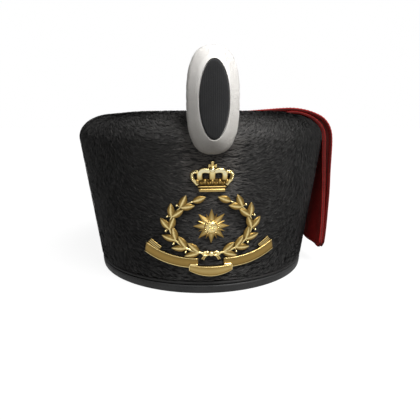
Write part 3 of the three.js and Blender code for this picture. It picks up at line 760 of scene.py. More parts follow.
# The inner leaf's back carries painted light, lifting the shade between the bag and the drum
BACK_PAINTED_LIGHT_RED = ((0.42, 0.02, 0.0175), (0.7, 0.035, 0.031), (0.84, 0.05, 0.043))
SEAM_RED = ((0.17, 0.042, 0.037), (0.28, 0.072, 0.064), (0.37, 0.1, 0.09))
# The hems' cut edges are darkened by painted shade, the outer leaf's most
INNER_EDGE_PAINTED_SHADE_RED = ((0.075, 0.0085, 0.0078), (0.135, 0.0165, 0.015), (0.19, 0.027, 0.0245))
OUTER_EDGE_PAINTED_SHADE_RED = ((0.032, 0.0042, 0.0038), (0.06, 0.0082, 0.0074), (0.09, 0.0135, 0.0122))
RED_THREAD = (0.34, 0.03, 0.026)


def fulled_cloth(name, reds):
    """Fulled cloth in three reds: a soft twill that shows through matted nap, by a map in metres of cloth."""
    finish, tree, shader = new_finish(name, {
        "Roughness": 0.88, "Specular IOR Level": 0.18, "Sheen Weight": 0.15, "Sheen Roughness": 0.45,
        "Sheen Tint": (1.0, 0.25, 0.2, 1)})
    spread = add_node(tree, "ShaderNodeUVMap", uv_map="cloth_cut").outputs["UV"]
    fibres = add_group(tree, matted, spread, {"Fibres per metre": 1400.0})
    twill = add_node(tree, "ShaderNodeTexWave", {"Scale": 260.0, "Distortion": 1.5, "Detail": 2.0},
                     bands_direction="DIAGONAL")
    tree.links.new(spread, twill.inputs["Vector"])
    nap = blend_heights(tree, fibres.outputs["Height"], twill.outputs["Fac"], 0.22)
    tone = blend_heights(tree, fibres.outputs["Tone"], twill.outputs["Fac"], 0.12)
    colour_over(tree, shader, tone, *zip(CLOTH_STOPS, reds))
    add_bump(tree, shader, nap, 0.6, 0.35)
    return finish


outer_cloth = fulled_cloth("red_fulled_wool", OUTER_RED)
back_painted_light_cloth = fulled_cloth("red_fulled_wool_back_painted_light", BACK_PAINTED_LIGHT_RED)
inner_edge_painted_shade = fulled_cloth("red_wool_inner_edge_painted_shade", INNER_EDGE_PAINTED_SHADE_RED)
outer_edge_painted_shade = fulled_cloth("red_wool_outer_edge_painted_shade", OUTER_EDGE_PAINTED_SHADE_RED)


def smooth_step(share, start, leave, end, arrive):
    """Places from a start to an end, at shares of the way, with the slopes to leave and to arrive by."""
    return ((2 * share**3 - 3 * share**2 + 1) * start + (share**3 - 2 * share**2 + share) * leave
            + (3 * share**2 - 2 * share**3) * end + (share**3 - share**2) * arrive)


def guide_line(sections):
    """A smooth line through sections of (x, z), as close points and the travel along them."""
    points = np.array(sections, float)
    points = np.vstack([2 * points[0] - points[1], points, 2 * points[-1] - points[-2]])
    line = []
    share = np.linspace(0, 1, GUIDE_STEPS, endpoint=False)[:, None]
    for before, start, end, after in zip(points, points[1:], points[2:], points[3:]):
        into, step, onward = (math.sqrt(np.linalg.norm(b - a))
                              for a, b in ((before, start), (start, end), (end, after)))
        leave = (start - before) / into - (end - before) / (into + step) + (end - start) / step
        arrive = (end - start) / step - (after - start) / (step + onward) + (after - end) / onward
        line.append(smooth_step(share, start, leave * step, end, arrive * step))
    line = np.vstack([*line, points[-2:-1]])
    return line, travel_along(line)


def at_travel(guide, travelled):
    """Both coordinates of a guide's line at a travel along it."""
    line, travel = guide
    return [np.interp(travelled, travel, line[:, i]) for i in range(2)]


def leaf_half_width(x, z):
    """Half width of a leaf: the crown's oval where it covers the crown, then the strip of the bag."""
    reach = np.minimum(0.99, np.abs(x) / RECESS_HALF_WIDTH)
    oval = DEPTH_RATIO * RECESS_HALF_WIDTH * np.sqrt(1 - reach**2) - CROWN_CLOTH_MARGIN
    strip = BAG_END_HALF_WIDTH + (BAG_HALF_WIDTH - BAG_END_HALF_WIDTH) * ease(BAG_END_Z, WIDEST_Z, z)
    corner = BAG_CORNER_TRIM * (1 - ease(BAG_END_Z, BAG_END_Z + BAG_CORNER, z)) ** 2
    filleted = (oval + strip + np.hypot(oval - strip, BAG_FILLET)) / 2
    return np.where(x < 0, oval, filleted) - corner


def leaf_place(guide, travelled, across, outward):
    """Place on a leaf: travel along its guide, across from -1 to 1, and outward from the guide. The cloth
    wraps round the drum at the shoulder and hangs flat at its end, with soft folds."""
    line, travel = guide
    slope = np.gradient(line, travel, axis=0)
    x, z = at_travel(guide, travelled)
    along_x, along_z = at_travel((slope, travel), travelled)
    side = across * leaf_half_width(x, z)
    on_drum = ease(CROWN_BEND_START_X, RIDGE_HALF_WIDTH, x)
    wrap = WIDEST_HALF_WIDTH - np.sqrt(WIDEST_HALF_WIDTH**2 - (side / DEPTH_RATIO) ** 2)
    edge_drop = (1 - on_drum) * CROWN_EDGE_DROP * across**4
    free = 1 - ease(0.7, 1.0, np.abs(across))
    crown_folds = np.sin(0.06 * x + 0.11 * side + 1) + 0.7 * np.sin(0.13 * x - 0.07 * side)
    hung_folds = ease(WIDEST_Z, BAG_END_Z, z) * np.sin(0.17 * side + 0.02 * z)
    lifted = outward + free * ((1 - on_drum) * CROWN_FOLD * crown_folds + on_drum * HUNG_FOLD * hung_folds)
    return np.stack([
        x - along_z * lifted - on_drum * ease(BAG_END_Z, WIDEST_Z, z) * wrap,
        side,
        z + along_x * lifted - edge_drop,
    ], axis=-1)


def cloth_leaf(name, guide, middle, hem_from, thinning, finishes, steps):
    """A leaf of cloth as a grid laid along its guide, with a map of its flat cut. Its hems are thicker from
    this travel on, and thinner by a share at their edge. Its finishes are those of its face, of its edges
    and, where it differs, of its back."""
    travel = guide[1]
    shaped = bmesh.new()
    bmesh.ops.create_grid(shaped, x_segments=steps[0], y_segments=steps[1], size=1)
    flat = np.array([vert.co[:2] for vert in shaped.verts])
    flat[:, 1] = np.sign(flat[:, 1]) * (1 - (1 - np.abs(flat[:, 1])) ** EDGE_CROWDING)
    travelled = (1 - ((1 - flat[:, 0]) / 2) ** END_CROWDING) * travel[-1]
    places = leaf_place(guide, travelled, flat[:, 1], middle)
    widths = leaf_half_width(*at_travel(guide, travelled))
    for vert, point in zip(shaped.verts, places):
        vert.co = point
    cut = shaped.loops.layers.uv.new("cloth_cut")
    for face in shaped.faces:
        for loop in face.loops:
            at = loop.vert.index
            loop[cut].uv = (flat[at, 1] * widths[at] * MM, travelled[at] * MM)
    leaf = make_piece(name, shaped, *finishes)
    hem = leaf.vertex_groups.new(name="hem")
    from_edge = (1 - np.abs(flat[:, 1])) * widths
    from_edge = np.minimum(from_edge, np.minimum(travelled, travel[-1] - travelled))
    hem_share = (1 - ease(HEM - 0.8, HEM, from_edge)) * ease(hem_from - HEM_GROWTH, hem_from, travelled)
    plain_share = (CLOTH / HEM_CLOTH - THIN_SHARE) / (1 - THIN_SHARE)
    thickness = plain_share + (1 - plain_share) * hem_share
    thickness *= 1 - thinning * (1 - ease(0, HEM_ROUND, from_edge))
    for at, share in enumerate(thickness):
        hem.add([at], float(share), "REPLACE")
    thick = leaf.modifiers.new("cloth", "SOLIDIFY")
    thick.thickness = HEM_CLOTH * MM
    thick.offset = 0
    thick.vertex_group = "hem"
    thick.thickness_vertex_group = THIN_SHARE
    thick.material_offset_rim = 1
    if len(finishes) == 3:
        thick.material_offset = 2
    rounded = leaf.modifiers.new("soft_edges", "SUBSURF")
    rounded.levels = 1
    rounded.render_levels = 1
    return leaf


def hem_stitches(guide, start, outward):
    """Places of stitches beside a leaf's hem, down one edge, along its end and up the other edge."""
    last = guide[1][-1] - HEM_STITCH_INSET
    downward = np.arange(start, last, STITCH_PITCH)
    widths = leaf_half_width(*at_travel(guide, downward))
    beside_edge = (widths - HEM_STITCH_INSET) / widths
    end_width = leaf_half_width(*at_travel(guide, last))
    end_half = end_width - HEM_STITCH_INSET
    end = np.arange(-end_half + STITCH_PITCH, end_half, STITCH_PITCH) / end_width
    travelled = np.concatenate([downward, np.full(len(end), last), downward[::-1]])
    across = np.concatenate([-beside_edge, end, beside_edge[::-1]])
    points = leaf_place(guide, travelled, across, outward)
    raised = leaf_place(guide, travelled, across, outward + 1.0)
    along = unit(np.gradient(points, axis=0))
    face = unit((raised - points) * np.sign(outward))
    face = unit(face - along * np.sum(face * along, axis=1)[:, None])
    return [frame_at(*place) for place in zip(points, along, face)]


outer_guide = guide_line(OUTER_LEAF_SECTIONS)
inner_guide = guide_line(INNER_LEAF_SECTIONS)
red_thread = thread_finish("red_sewing_thread", RED_THREAD)

inner_leaf = cloth_leaf("bag_leaf_inner", inner_guide, CLOTH / 2, INNER_HEM_FROM, 0.0,
                        (outer_cloth, inner_edge_painted_shade, back_painted_light_cloth), INNER_LEAF_STEPS)
fit(inner_leaf, "red_cloth", "bag_inner_leaf")
outer_leaf = cloth_leaf("bag_leaf_outer", outer_guide, -CLOTH / 2, 0.0, OUTER_EDGE_THINNING,
                        (outer_cloth, outer_edge_painted_shade), OUTER_LEAF_STEPS)
fit(outer_leaf, "red_cloth", "bag_outer_leaf")

outer_stitches = joined_copies("bag_leaf_outer_stitches", stitch_shape(HEM_STITCH),
                               hem_stitches(outer_guide, OUTER_STITCHES_FROM, HEM_STITCH_PROUD), red_thread)
fit(outer_stitches, "red_cloth")
inner_stitches = joined_copies("bag_leaf_inner_stitches", stitch_shape(HEM_STITCH),
                               hem_stitches(inner_guide, INNER_STITCHES_FROM, -HEM_STITCH_PROUD), red_thread)
fit(inner_stitches, "red_cloth")

# The strip's way round runs from 0 to 3: down one edge of the bag, along its end and up the other edge
web = bmesh.new()
bmesh.ops.create_grid(web, x_segments=WEB_STEPS[0], y_segments=WEB_STEPS[1], size=1)
web_flat = np.array([vert.co[:2] for vert in web.verts])
way_round = 1.5 * (web_flat[:, 0] + 1)
between = (web_flat[:, 1] + 1) / 2
web_climb = np.maximum(0, np.maximum(1 - way_round, way_round - 2))
web_inset = WEB_INSET + WEB_CLOTH / 2 + WEB_DIP * 4 * between * (1 - between)
web_foot = BAG_END_Z + web_inset
web_inset = web_inset + (WEB_TOP_INSET - WEB_INSET) * ease(WEB_TURN_IN, 1.0, web_climb) ** 2
web_across = (1 - web_inset / BAG_HALF_WIDTH) * (2 * np.clip(way_round - 1, 0, 1) - 1)
web_height = web_foot + (WIDEST_Z - web_foot) * np.minimum(1, web_climb / WEB_CREST)


def web_travel(guide):
    """Travel along a guide to each place of the strip: up the fall of the bag, then over the shoulder."""
    line, travel = guide
    fall = line[:, 1] < WEB_FALL_TOP
    up_the_fall = np.interp(-web_height, -line[fall, 1], travel[fall])
    crest = np.interp(-WIDEST_Z, -line[fall, 1], travel[fall])
    last = np.interp(WEB_END_X, line[~fall, 0], travel[~fall])
    return up_the_fall + (last - crest) * np.maximum(0, web_climb - WEB_CREST) / (1 - WEB_CREST)


on_inner = leaf_place(inner_guide, web_travel(inner_guide), web_across, CLOTH + GAP)
on_outer = leaf_place(outer_guide, web_travel(outer_guide), web_across, -CLOTH - GAP)
for vert, near, far, share in zip(web.verts, on_inner, on_outer, between):
    vert.co = near + (far - near) * share
web_cut = web.loops.layers.uv.new("cloth_cut")
for face in web.faces:
    for loop in face.loops:
        loop[web_cut].uv = (loop.vert.co.x * MM, (loop.vert.co.y + loop.vert.co.z) * MM)
seam_web = make_piece("bag_seam_strip", web, fulled_cloth("red_seam_cloth", SEAM_RED))
web_thick = seam_web.modifiers.new("cloth", "SOLIDIFY")
web_thick.thickness = WEB_CLOTH * MM
web_thick.offset = 0
fit(seam_web, "red_cloth", "bag_seam_web")


# Pompon pin
# A plain steel pin, hidden in the wool, that holds the pompon to the front of the drum. Nothing of it shows,
# so its solid is kept and takes a finish.
STEEL_DARK = (0.28, 0.28, 0.29)
STEEL_LIGHT = (0.5, 0.5, 0.51)
steel, tree, shader, place, fibres = matted_finish("plain_steel", {"Metallic": 1.0, "Roughness": 0.4}, 1500.0)
colour_over(tree, shader, fibres.outputs["Tone"], (0.3, STEEL_DARK), (0.7, STEEL_LIGHT))
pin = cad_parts["pompon_pin"]
pin.data.materials.clear()
pin.data.materials.append(steel)


# Pompon
# An upright oval of dense white wool, darkened by painted shade towards its foot and clipped smooth in
# shallow locks, round a black felt centre. Its back is hollowed where it presses on the fur, and the pin
# holds it.
pompon_low, pompon_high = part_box("pompon_ring")
POMPON_Y = -123.5
POMPON_CENTRE = Vector((0, POMPON_Y, (pompon_low.z + pompon_high.z) / 2 / MM))
POMPON_LOCKS = 18
POMPON_STEPS = 180
NAP = 0.3
WOOL_HAIRS = 52000
WOOL_LENGTHS = (0.3, 0.6)
WOOL_HALF_WIDTHS = (0.03, 0.055)
WOOL_PROUD = 0.2
WOOL_UPRIGHT = 0.65
WOOL_SPREAD = 0.5
WOOL_CURL = 0.35
NAP_TONE = 0.54
NAP_TONE_SPREAD = 0.14
NAP_PAINTED_SHADE = 0.42
# The nap covers what lies before this depth, but not the felt centre's seat or the lip above and below it
NAP_BACK_DEPTH = -6
SEAT_HALF_WIDTH = 9.6
SEAT_DEPTH = 9
SEAT_TILT = -0.3
# Sections from back to front: half width, half height, squareness of the oval, depth, furrow between locks
POMPON_SECTIONS = [
    (10.0, 25.0, 2.4, -8.0, 0.0), (14.8, 31.3, 2.6, -5.4, 0.15), (17.3, 34.1, 2.65, 0.0, 0.2),
    (16.8, 33.4, 2.6, 3.6, 0.2), (13.6, 29.5, 2.35, 7.7, 0.1), (10.4, 25.4, 2.04, 10.9, 0.0),
    (10.15, 25.05, 2.0, 11.1, 0.0), (10.05, 24.9, 2.0, 10.9, 0.0), (9.9, 24.65, 2.0, 9.6, 0.0),
]
CENTRE_SECTIONS = [
    (9.3, 24.0, 2.0, 9.9, 0.0), (9.3, 24.0, 2.0, 11.0, 0.0), (8.95, 23.25, 2.0, 11.6, 0.0),
    (7.5, 20.1, 2.0, 12.1, 0.0), (4.0, 11.0, 2.0, 12.7, 0.0), (1.2, 3.4, 2.0, 12.88, 0.0),
]
# Painted shade darkens the wool from this share of its height down to its foot
WOOL_PAINTED_SHADE_TOP = 0.72
WOOL_PAINTED_SHADE = (0.56, 0.527, 0.48)
WOOL_SHADE = (0.76, 0.738, 0.7)
WOOL_PALE = (0.88, 0.858, 0.823)
WOOL_TONES = [(0.0, (0.6, 0.566, 0.52)), (0.3, (0.82, 0.797, 0.76)), (0.55, (0.89, 0.872, 0.843)),
              (1.0, (0.93, 0.92, 0.895))]
FELT_DARK = (0.008, 0.008, 0.0085)
FELT_LIGHT = (0.03, 0.03, 0.031)


def fine_sections(sections, steps):
    """Sections eased into more of them, by a curve through each column."""
    rows = np.array(sections)
    travel = travel_along(rows[:, [0, 3]])
    slopes = np.gradient(rows, travel, axis=0)
    fine = []
    for i, step in enumerate(np.diff(travel)):
        for share in np.linspace(0, 1, steps, endpoint=False):
            fine.append(smooth_step(share, rows[i], step * slopes[i], rows[i + 1], step * slopes[i + 1]))
    return [*fine, rows[-1]]


def oval_form(sections, shrink):
    """Oval sections spun into a closed form, x across and y forward, with a furrow beside each lock."""
    column = [(1, 0, i) for i in range(len(sections))]
    shaped = spun([(0, 0, 0), *column, (0, 0, len(sections) - 1)], POMPON_STEPS)
    for vert in shaped.verts:
        half, tall, power, depth, furrow = sections[round(vert.co.z)]
        across, upright = vert.co.x, vert.co.y
        if math.hypot(across, upright) < 0.5:
            vert.co = (0, -depth, 0)
            continue
        lobe = abs(math.sin(POMPON_LOCKS / 2 * math.atan2(upright, across)))
        oval = abs(across / half) ** power + abs(upright / tall) ** power
        reach = oval ** (-1 / power) - shrink - furrow * (1 - lobe) ** 2
        vert.co = (across * reach, -depth, upright * reach)
    shaped.normal_update()
    bmesh.ops.recalc_face_normals(shaped, faces=shaped.faces)
    bmesh.ops.translate(shaped, vec=POMPON_CENTRE, verts=shaped.verts)
    return shaped


def fur_front(x, z):
    """Distance forward of the axis of the coat's outer surface, at a place across and a height."""
    shoulder = max(0.0, 1 - (max(z, WIDEST_Z) - WIDEST_Z) ** 2 / (RIDGE_Z - WIDEST_Z) ** 2)
    wall = fur_half_width(min(z, WIDEST_Z))
    half = wall if z < WIDEST_Z else RIDGE_HALF_WIDTH + (wall - RIDGE_HALF_WIDTH) * math.sqrt(shoulder)
    return DEPTH_RATIO * math.sqrt(half * half - x * x)


def lowest_first(numbers):
    """The numbers of a face's corners, turned so that the lowest comes first."""
    first = numbers.index(min(numbers))
    return numbers[first:] + numbers[:first]


wool, tree, shader, place, fibres = matted_finish(
    "white_wool_core", {"Roughness": 0.95, "Specular IOR Level": 0.1}, 1600.0)
height = add_node(tree, "ShaderNodeSeparateXYZ")
tree.links.new(place, height.inputs["Vector"])
painted_shade_top_z = pompon_low.z + WOOL_PAINTED_SHADE_TOP * (pompon_high.z - pompon_low.z)
painted_shade_lift = add_node(tree, "ShaderNodeMapRange", {"From Min": pompon_low.z, "From Max": painted_shade_top_z})
tree.links.new(height.outputs["Z"], painted_shade_lift.inputs["Value"])
wool_tone = blend_heights(tree, fibres.outputs["Tone"], painted_shade_lift.outputs["Result"], 0.5)
colour_over(tree, shader, wool_tone, (0.2, WOOL_PAINTED_SHADE), (0.5, WOOL_SHADE), (0.72, WOOL_PALE))
add_bump(tree, shader, fibres.outputs["Height"], 0.4, 0.25)

ring = oval_form(fine_sections(POMPON_SECTIONS, 5), NAP)
for vert in ring.verts:
    if vert.co.z < RIDGE_Z:
        vert.co.y = min(vert.co.y, -fur_front(vert.co.x, vert.co.z) - GAP)
# The nap is drawn on the faces as seen from inside, so its hairs run inward from root ends that stand proud.
# The faces are put in a fixed order, so that every run draws the same hairs on them.
ring.verts.index_update()
wool_points = np.array([vert.co for vert in ring.verts])
wool_faces = sorted(lowest_first([vert.index for vert in face.verts][::-1]) for face in ring.faces)
wool_triangles = [(face[0], *pair) for face in wool_faces for pair in zip(face[1:], face[2:])]
pompon_ring = make_piece("pompon_wool", ring, wool)
fit(pompon_ring, "white_wool", "pompon_ring")

corners = wool_points[np.array(wool_triangles)]
facing = np.cross(corners[:, 1] - corners[:, 0], corners[:, 2] - corners[:, 0])
spans = np.linalg.norm(facing, axis=1)
facing = facing / np.maximum(spans, 1e-9)[:, None]
middles = corners.mean(axis=1)
in_front = middles[:, 1] < POMPON_Y - NAP_BACK_DEPTH
near_seat = (np.abs(middles[:, 0]) < SEAT_HALF_WIDTH) & (middles[:, 1] < POMPON_Y - SEAT_DEPTH)
open_wool = np.where(in_front & ~(near_seat & (facing[:, 1] > SEAT_TILT)), spans, 0)
chosen = rng.choice(len(spans), WOOL_HAIRS, p=open_wool / open_wool.sum())
shares = rng.dirichlet((1, 1, 1), WOOL_HAIRS)
roots = np.einsum("nk,nki->ni", shares, corners[chosen])
leaning = unit(WOOL_UPRIGHT * facing[chosen] + rng.normal(0, WOOL_SPREAD, (WOOL_HAIRS, 3)))
bending = unit(leaning + rng.normal(0, WOOL_CURL, (WOOL_HAIRS, 3)))
wool_length = rng.uniform(*WOOL_LENGTHS, WOOL_HAIRS)[:, None]
wool_rows = (roots - WOOL_PROUD * leaning, roots + 0.5 * wool_length * leaning,
             roots + 0.5 * wool_length * (leaning + bending))
wool_across = unit(np.cross(facing[chosen], leaning))
wool_hair = hair_finish("white_wool_nap", WOOL_TONES, 0.8, {"Roughness": 0.9, "Specular IOR Level": 0.15})
wool_widths = rng.uniform(*WOOL_HALF_WIDTHS, WOOL_HAIRS)
# Painted shade on the nap below that height
painted_shade_share = np.clip((painted_shade_top_z - roots[:, 2] * MM) / (painted_shade_top_z - pompon_low.z), 0, 1)
nap_tones = rng.normal(NAP_TONE, NAP_TONE_SPREAD, WOOL_HAIRS) - NAP_PAINTED_SHADE * painted_shade_share
nap_tones = np.clip(nap_tones, 0.03, 0.97)
wool_nap = hair_piece("pompon_wool_nap", wool_rows, wool_across, wool_widths, nap_tones, wool_hair)
fit(wool_nap, "white_wool")

felt, tree, shader, place, fibres = matted_finish("black_ribbed_felt", {
    "Roughness": 0.92, "Specular IOR Level": 0.2, "Sheen Weight": 0.25, "Sheen Roughness": 0.5}, 1500.0)
ribs = add_node(tree, "ShaderNodeTexWave", {"Scale": 240.0, "Distortion": 0.6, "Detail": 2.0},
                bands_direction="X")
tree.links.new(place, ribs.inputs["Vector"])
nap = blend_heights(tree, fibres.outputs["Tone"], ribs.outputs["Fac"], 0.16)
colour_over(tree, shader, nap, (0.25, FELT_DARK), (0.75, FELT_LIGHT))
add_bump(tree, shader, nap, 0.7, 0.4)
centre_pad = make_piece("pompon_felt_centre", oval_form(fine_sections(CENTRE_SECTIONS, 4), 0.0), felt)
fit(centre_pad, "black_wool", "pompon_centre")


# Gilt badge
# Cast relief in four parts, pinned through the front of the drum: an arched crown, a star in a laurel wreath
# and a blank ribbon. The gilding is brown where it lies deep, from tarnish and painted shade, and bright
# where it stands proud, from wear and painted highlight, with a pale painted highlight on the crown's arches.
GILT_DEEP = (0.04, 0.022, 0.007)
GILT_MIDDLE = (0.41, 0.266, 0.078)
GILT_BRIGHT = (1.0, 0.81, 0.37)
# A pale painted highlight for the crown's arches, post and orb
GILT_PAINTED_HIGHLIGHT = (1.0, 0.91, 0.57)
DOME_LIFT = 0.55
DOME_POLISH_AND_PAINTED_LIGHT = (0.1, 1.3)

gilt, tree, shader, place, fibres = matted_finish("cast_gilding", {"Metallic": 1.0}, 1300.0)
polish_and_painted_light = add_node(tree, "ShaderNodeAttribute", attribute_name="polish_and_painted_light").outputs["Fac"]
shine = blend_heights(tree, polish_and_painted_light, fibres.outputs["Tone"], 0.14)
colour_over(tree, shader, shine, (0.18, GILT_DEEP), (0.56, GILT_MIDDLE), (0.88, GILT_BRIGHT),
            (1.0, GILT_PAINTED_HIGHLIGHT))
dullness = add_node(tree, "ShaderNodeMapRange", {"To Min": 0.62, "To Max": 0.24})
tree.links.new(shine, dullness.inputs["Value"])
tree.links.new(dullness.outputs["Result"], shader.inputs["Roughness"])
add_bump(tree, shader, fibres.outputs["Height"], 0.25, 0.25)


def new_relief():
    """An empty relief in the badge's plane: x across, y height, z relief, with a shine for each point."""
    relief = bmesh.new()
    # Shine: tarnish and painted shade where the relief is low, wear and painted highlight where it is high
    relief.verts.layers.float.new("polish_and_painted_light")
    return relief


def set_polish_and_painted_light(relief, verts, low, high, most=1.0):
    """Shine from 0 at a low height of relief to its most at a high one."""
    layer = relief.verts.layers.float["polish_and_painted_light"]
    for vert in verts:
        vert[layer] = most * float(np.clip((vert.co.z - low) / (high - low), 0, 1))


def add_dome(relief, x, y, half_width, half_height, rise, sides=14, rings=8, shine=1.0):
    """A domed boss, sunk a little so that its widest line shows, shining on top by a share."""
    dome = bmesh.ops.create_uvsphere(relief, u_segments=sides, v_segments=rings, radius=1)["verts"]
    bmesh.ops.scale(relief, vec=(half_width, half_height, rise), verts=dome)
    bmesh.ops.translate(relief, vec=(x, y, DOME_LIFT * rise), verts=dome)
    set_polish_and_painted_light(relief, dome, DOME_POLISH_AND_PAINTED_LIGHT[0] * rise, DOME_POLISH_AND_PAINTED_LIGHT[1] * rise, shine)


def add_sweep(relief, stations):
    """A solid through rings of (x, y, z, shine), by extruding the first one from station to station."""
    layer = relief.verts.layers.float["polish_and_painted_light"]
    ring = [relief.verts.new(point[:3]) for point in stations[0]]
    face = relief.faces.new(ring)
    for vert, point in zip(ring, stations[0]):
        vert[layer] = point[3]
    for station in stations[1:]:
        made = bmesh.ops.extrude_face_region(relief, geom=[face, *face.edges])["geom"]
        face = next(part for part in made if isinstance(part, bmesh.types.BMFace))
        for vert, point in zip(face.verts, station):
            vert.co = point[:3]
            vert[layer] = point[3]


def add_strip(relief, path, section, widths=None, lean=None, painted_light_share=None):
    """Sweeps a section of (across, rise, shine) along a path of (x, y), square to it unless lean is given.
    Widths scale the section, and a share of painted light scales its shine, at each point of the path."""
    path = np.array(path, float)
    heading = unit(np.gradient(path, axis=0))
    scales = np.ones(len(path)) if widths is None else widths
    painted_light_shares = np.ones(len(path)) if painted_light_share is None else painted_light_share
    stations = []
    for (x, y), (along_x, along_y), scale, painted_light_at in zip(path, heading, scales, painted_light_shares):
        across_x, across_y = (-along_y, along_x) if lean is None else (-along_y * lean, 1.0)
        stations.append([(x + across_x * across * scale, y + across_y * across * scale,
                          rise * (0.4 + 0.6 * scale), shine * painted_light_at) for across, rise, shine in section])
    add_sweep(relief, stations)


def round_section(half_width, rise, sides=8):
    """A round bar's section, standing on the fur, bright on top from wear and painted highlight."""
    angles = np.arange(sides) * 2 * math.pi / sides
    return [(half_width * math.cos(a), rise * (1 + math.sin(a)), 0.5 + 0.5 * math.sin(a)) for a in angles]


def bent(start, pull, end, steps):
    """Points on a curve from a start to an end, pulled towards a third point."""
    share = np.linspace(0, 1, steps + 1)[:, None]
    start, pull, end = (np.array(point, float) for point in (start, pull, end))
    return (1 - share) ** 2 * start + 2 * share * (1 - share) * pull + share**2 * end


def on_side(side, base, curve, steps):
    """Points on a curve of (start, pull, end) at one side of the badge, given as (x, height over a base)."""
    return bent(*[(side * x, base + height) for x, height in curve], steps)


def badge_piece(name, relief, node, smooth=True):
    """Lays a relief on the front of the fur, its back against it, as a gilt piece that stands for a node."""
    bmesh.ops.recalc_face_normals(relief, faces=relief.faces)
    for vert in relief.verts:
        x, height, rise = vert.co
        half = fur_half_width(height)
        y = -DEPTH_RATIO * math.sqrt(half * half - x * x)
        normal = Vector((x, y / DEPTH_RATIO**2, -half * FLARE)).normalized()
        vert.co = Vector((x, y, height)) + normal * (GAP + max(0.0, rise))
    fit(make_piece(name, relief, gilt, smooth=smooth), "gilt", node)


# Crown of the badge: a moulded band that flares into leaf points, five arches, an orb and a cross
CROWN_BASE = 79.2
CROWN_TIP = 100.2
CROWN_LEAF_SHARE = 0.86
CROWN_LEAF_PLACES = (-1, -0.5, 0, 0.5, 1)
CROWN_ORB_Z = CROWN_BASE + 15.3
CROWN_CROSS_Z = CROWN_TIP - 3
CROWN_CROSS_ARM = 2.75
CROWN_CROSS_FOOT = 1.7
ARCH_STEPS = 18
ARCH_BEADS = slice(6, 22, 2)
# The middle post's heights over the base, and the arches' curves at the right
CROWN_POST = np.linspace(8.6, 15.6, 8)
INNER_ARCH = ((7.9, 8.4), (10.4, 16.8), (1.4, 14.2))
OUTER_ARCH_FOOT = ((9.6, 4.9), (10.9, 6.9), (12.6, 8.4))
OUTER_ARCH = ((12.6, 8.4), (15.4, 14.8), (9.2, 13.6))
# Section of the cross: across, rise and shine
CROWN_CROSS = [(-0.75, 0, 0), (-0.75, 1.3, 0.5), (-0.45, 1.6, 0.8), (0.45, 1.6, 0.8), (0.75, 1.3, 0.5),
               (0.75, 0, 0)]
# Height over the base, half width, relief and shine of the band and of the cup over it
CROWN_PROFILE = [
    (0.0, 8.4, 1.4, 0.3), (0.4, 8.5, 2.2, 0.7), (1.2, 8.8, 2.3, 0.6), (2.1, 9.1, 2.2, 0.66),
    (2.4, 9.15, 1.3, 0.05), (3.0, 9.35, 1.3, 0.05), (3.3, 9.4, 2.1, 0.64), (4.0, 9.6, 2.1, 0.64),
    (4.3, 9.7, 1.3, 0.05), (4.9, 9.9, 1.3, 0.05), (5.3, 10.1, 1.6, 0.25), (8.6, 12.1, 1.5, 0.2),
    (9.2, 12.5, 0.7, 0.1),
]
# Each leaf point: step aside, height over the base, half width, half height, relief and shine of its lobes
CROWN_LEAF = [
    (0.0, 7.4, 1.3, 2.0, 2.0, 0.6), (-1.55, 6.5, 0.95, 1.05, 1.8, 0.45), (1.55, 6.5, 0.95, 1.05, 1.8, 0.45),
    (-2.65, 5.9, 0.6, 0.6, 1.7, 0.5), (2.65, 5.9, 0.6, 0.6, 1.7, 0.5),
]
crown = new_relief()


def level(half_width, y, steps):
    """A straight path across the badge at a height."""
    return np.stack([np.linspace(-half_width, half_width, steps), np.full(steps, y)], axis=1)


def plate_section(half_width, rise):
    """A plate's section: steep sides and a broad, slightly crowned top, bright with painted highlight."""
    angles = np.linspace(math.pi, 0, 11)
    return [(half_width * np.sign(math.cos(a)) * abs(math.cos(a)) ** 0.6, rise * max(0.0, math.sin(a)) ** 0.4,
             0.25 + 0.87 * max(0.0, math.sin(a))) for a in angles]


cup = []
for height, half, relief, shine in CROWN_PROFILE:
    front = [(across, CROWN_BASE + height, relief, shine) for across in np.linspace(-half, half, 15)]
    cup.append([(-half, CROWN_BASE + height, 0, 0), *front, (half, CROWN_BASE + height, 0, 0)])
add_sweep(crown, cup)
cup_heights, cup_halves = np.array(CROWN_PROFILE)[:, :2].T
for share in CROWN_LEAF_PLACES:
    for aside, height, half, tall, relief, shine in CROWN_LEAF:
        reach = np.interp(height, cup_heights, cup_halves)
        x = share * CROWN_LEAF_SHARE * reach + aside
        if abs(x) < reach:
            add_dome(crown, x, CROWN_BASE + height, half, tall, relief, 10, 7, shine)
post = [(0, CROWN_BASE + height) for height in CROWN_POST]
# The post and the arches carry painted shade at their feet and a pale painted highlight higher up
add_strip(crown, post, plate_section(2.15, 2.4), painted_light_share=np.linspace(0.6, 1.05, len(post)))
arch_widths = np.linspace(1.05, 0.9, ARCH_STEPS + 1)
arch_painted_light = np.minimum(1.0, np.linspace(0.55, 2.2, ARCH_STEPS + 1))
for side in (-1, 1):
    inner_arch = on_side(side, CROWN_BASE, INNER_ARCH, ARCH_STEPS)
    add_strip(crown, inner_arch, plate_section(1.85, 2.2), arch_widths, painted_light_share=arch_painted_light)
    arch_foot = on_side(side, CROWN_BASE, OUTER_ARCH_FOOT, 5)[:-1]
    outer_arch = np.vstack([arch_foot, on_side(side, CROWN_BASE, OUTER_ARCH, ARCH_STEPS)])
    add_strip(crown, outer_arch, round_section(1.3, 1.0, 12))
    for x, y in outer_arch[ARCH_BEADS]:
        add_dome(crown, x, y, 1.0, 1.0, 2.2, 10, 7)
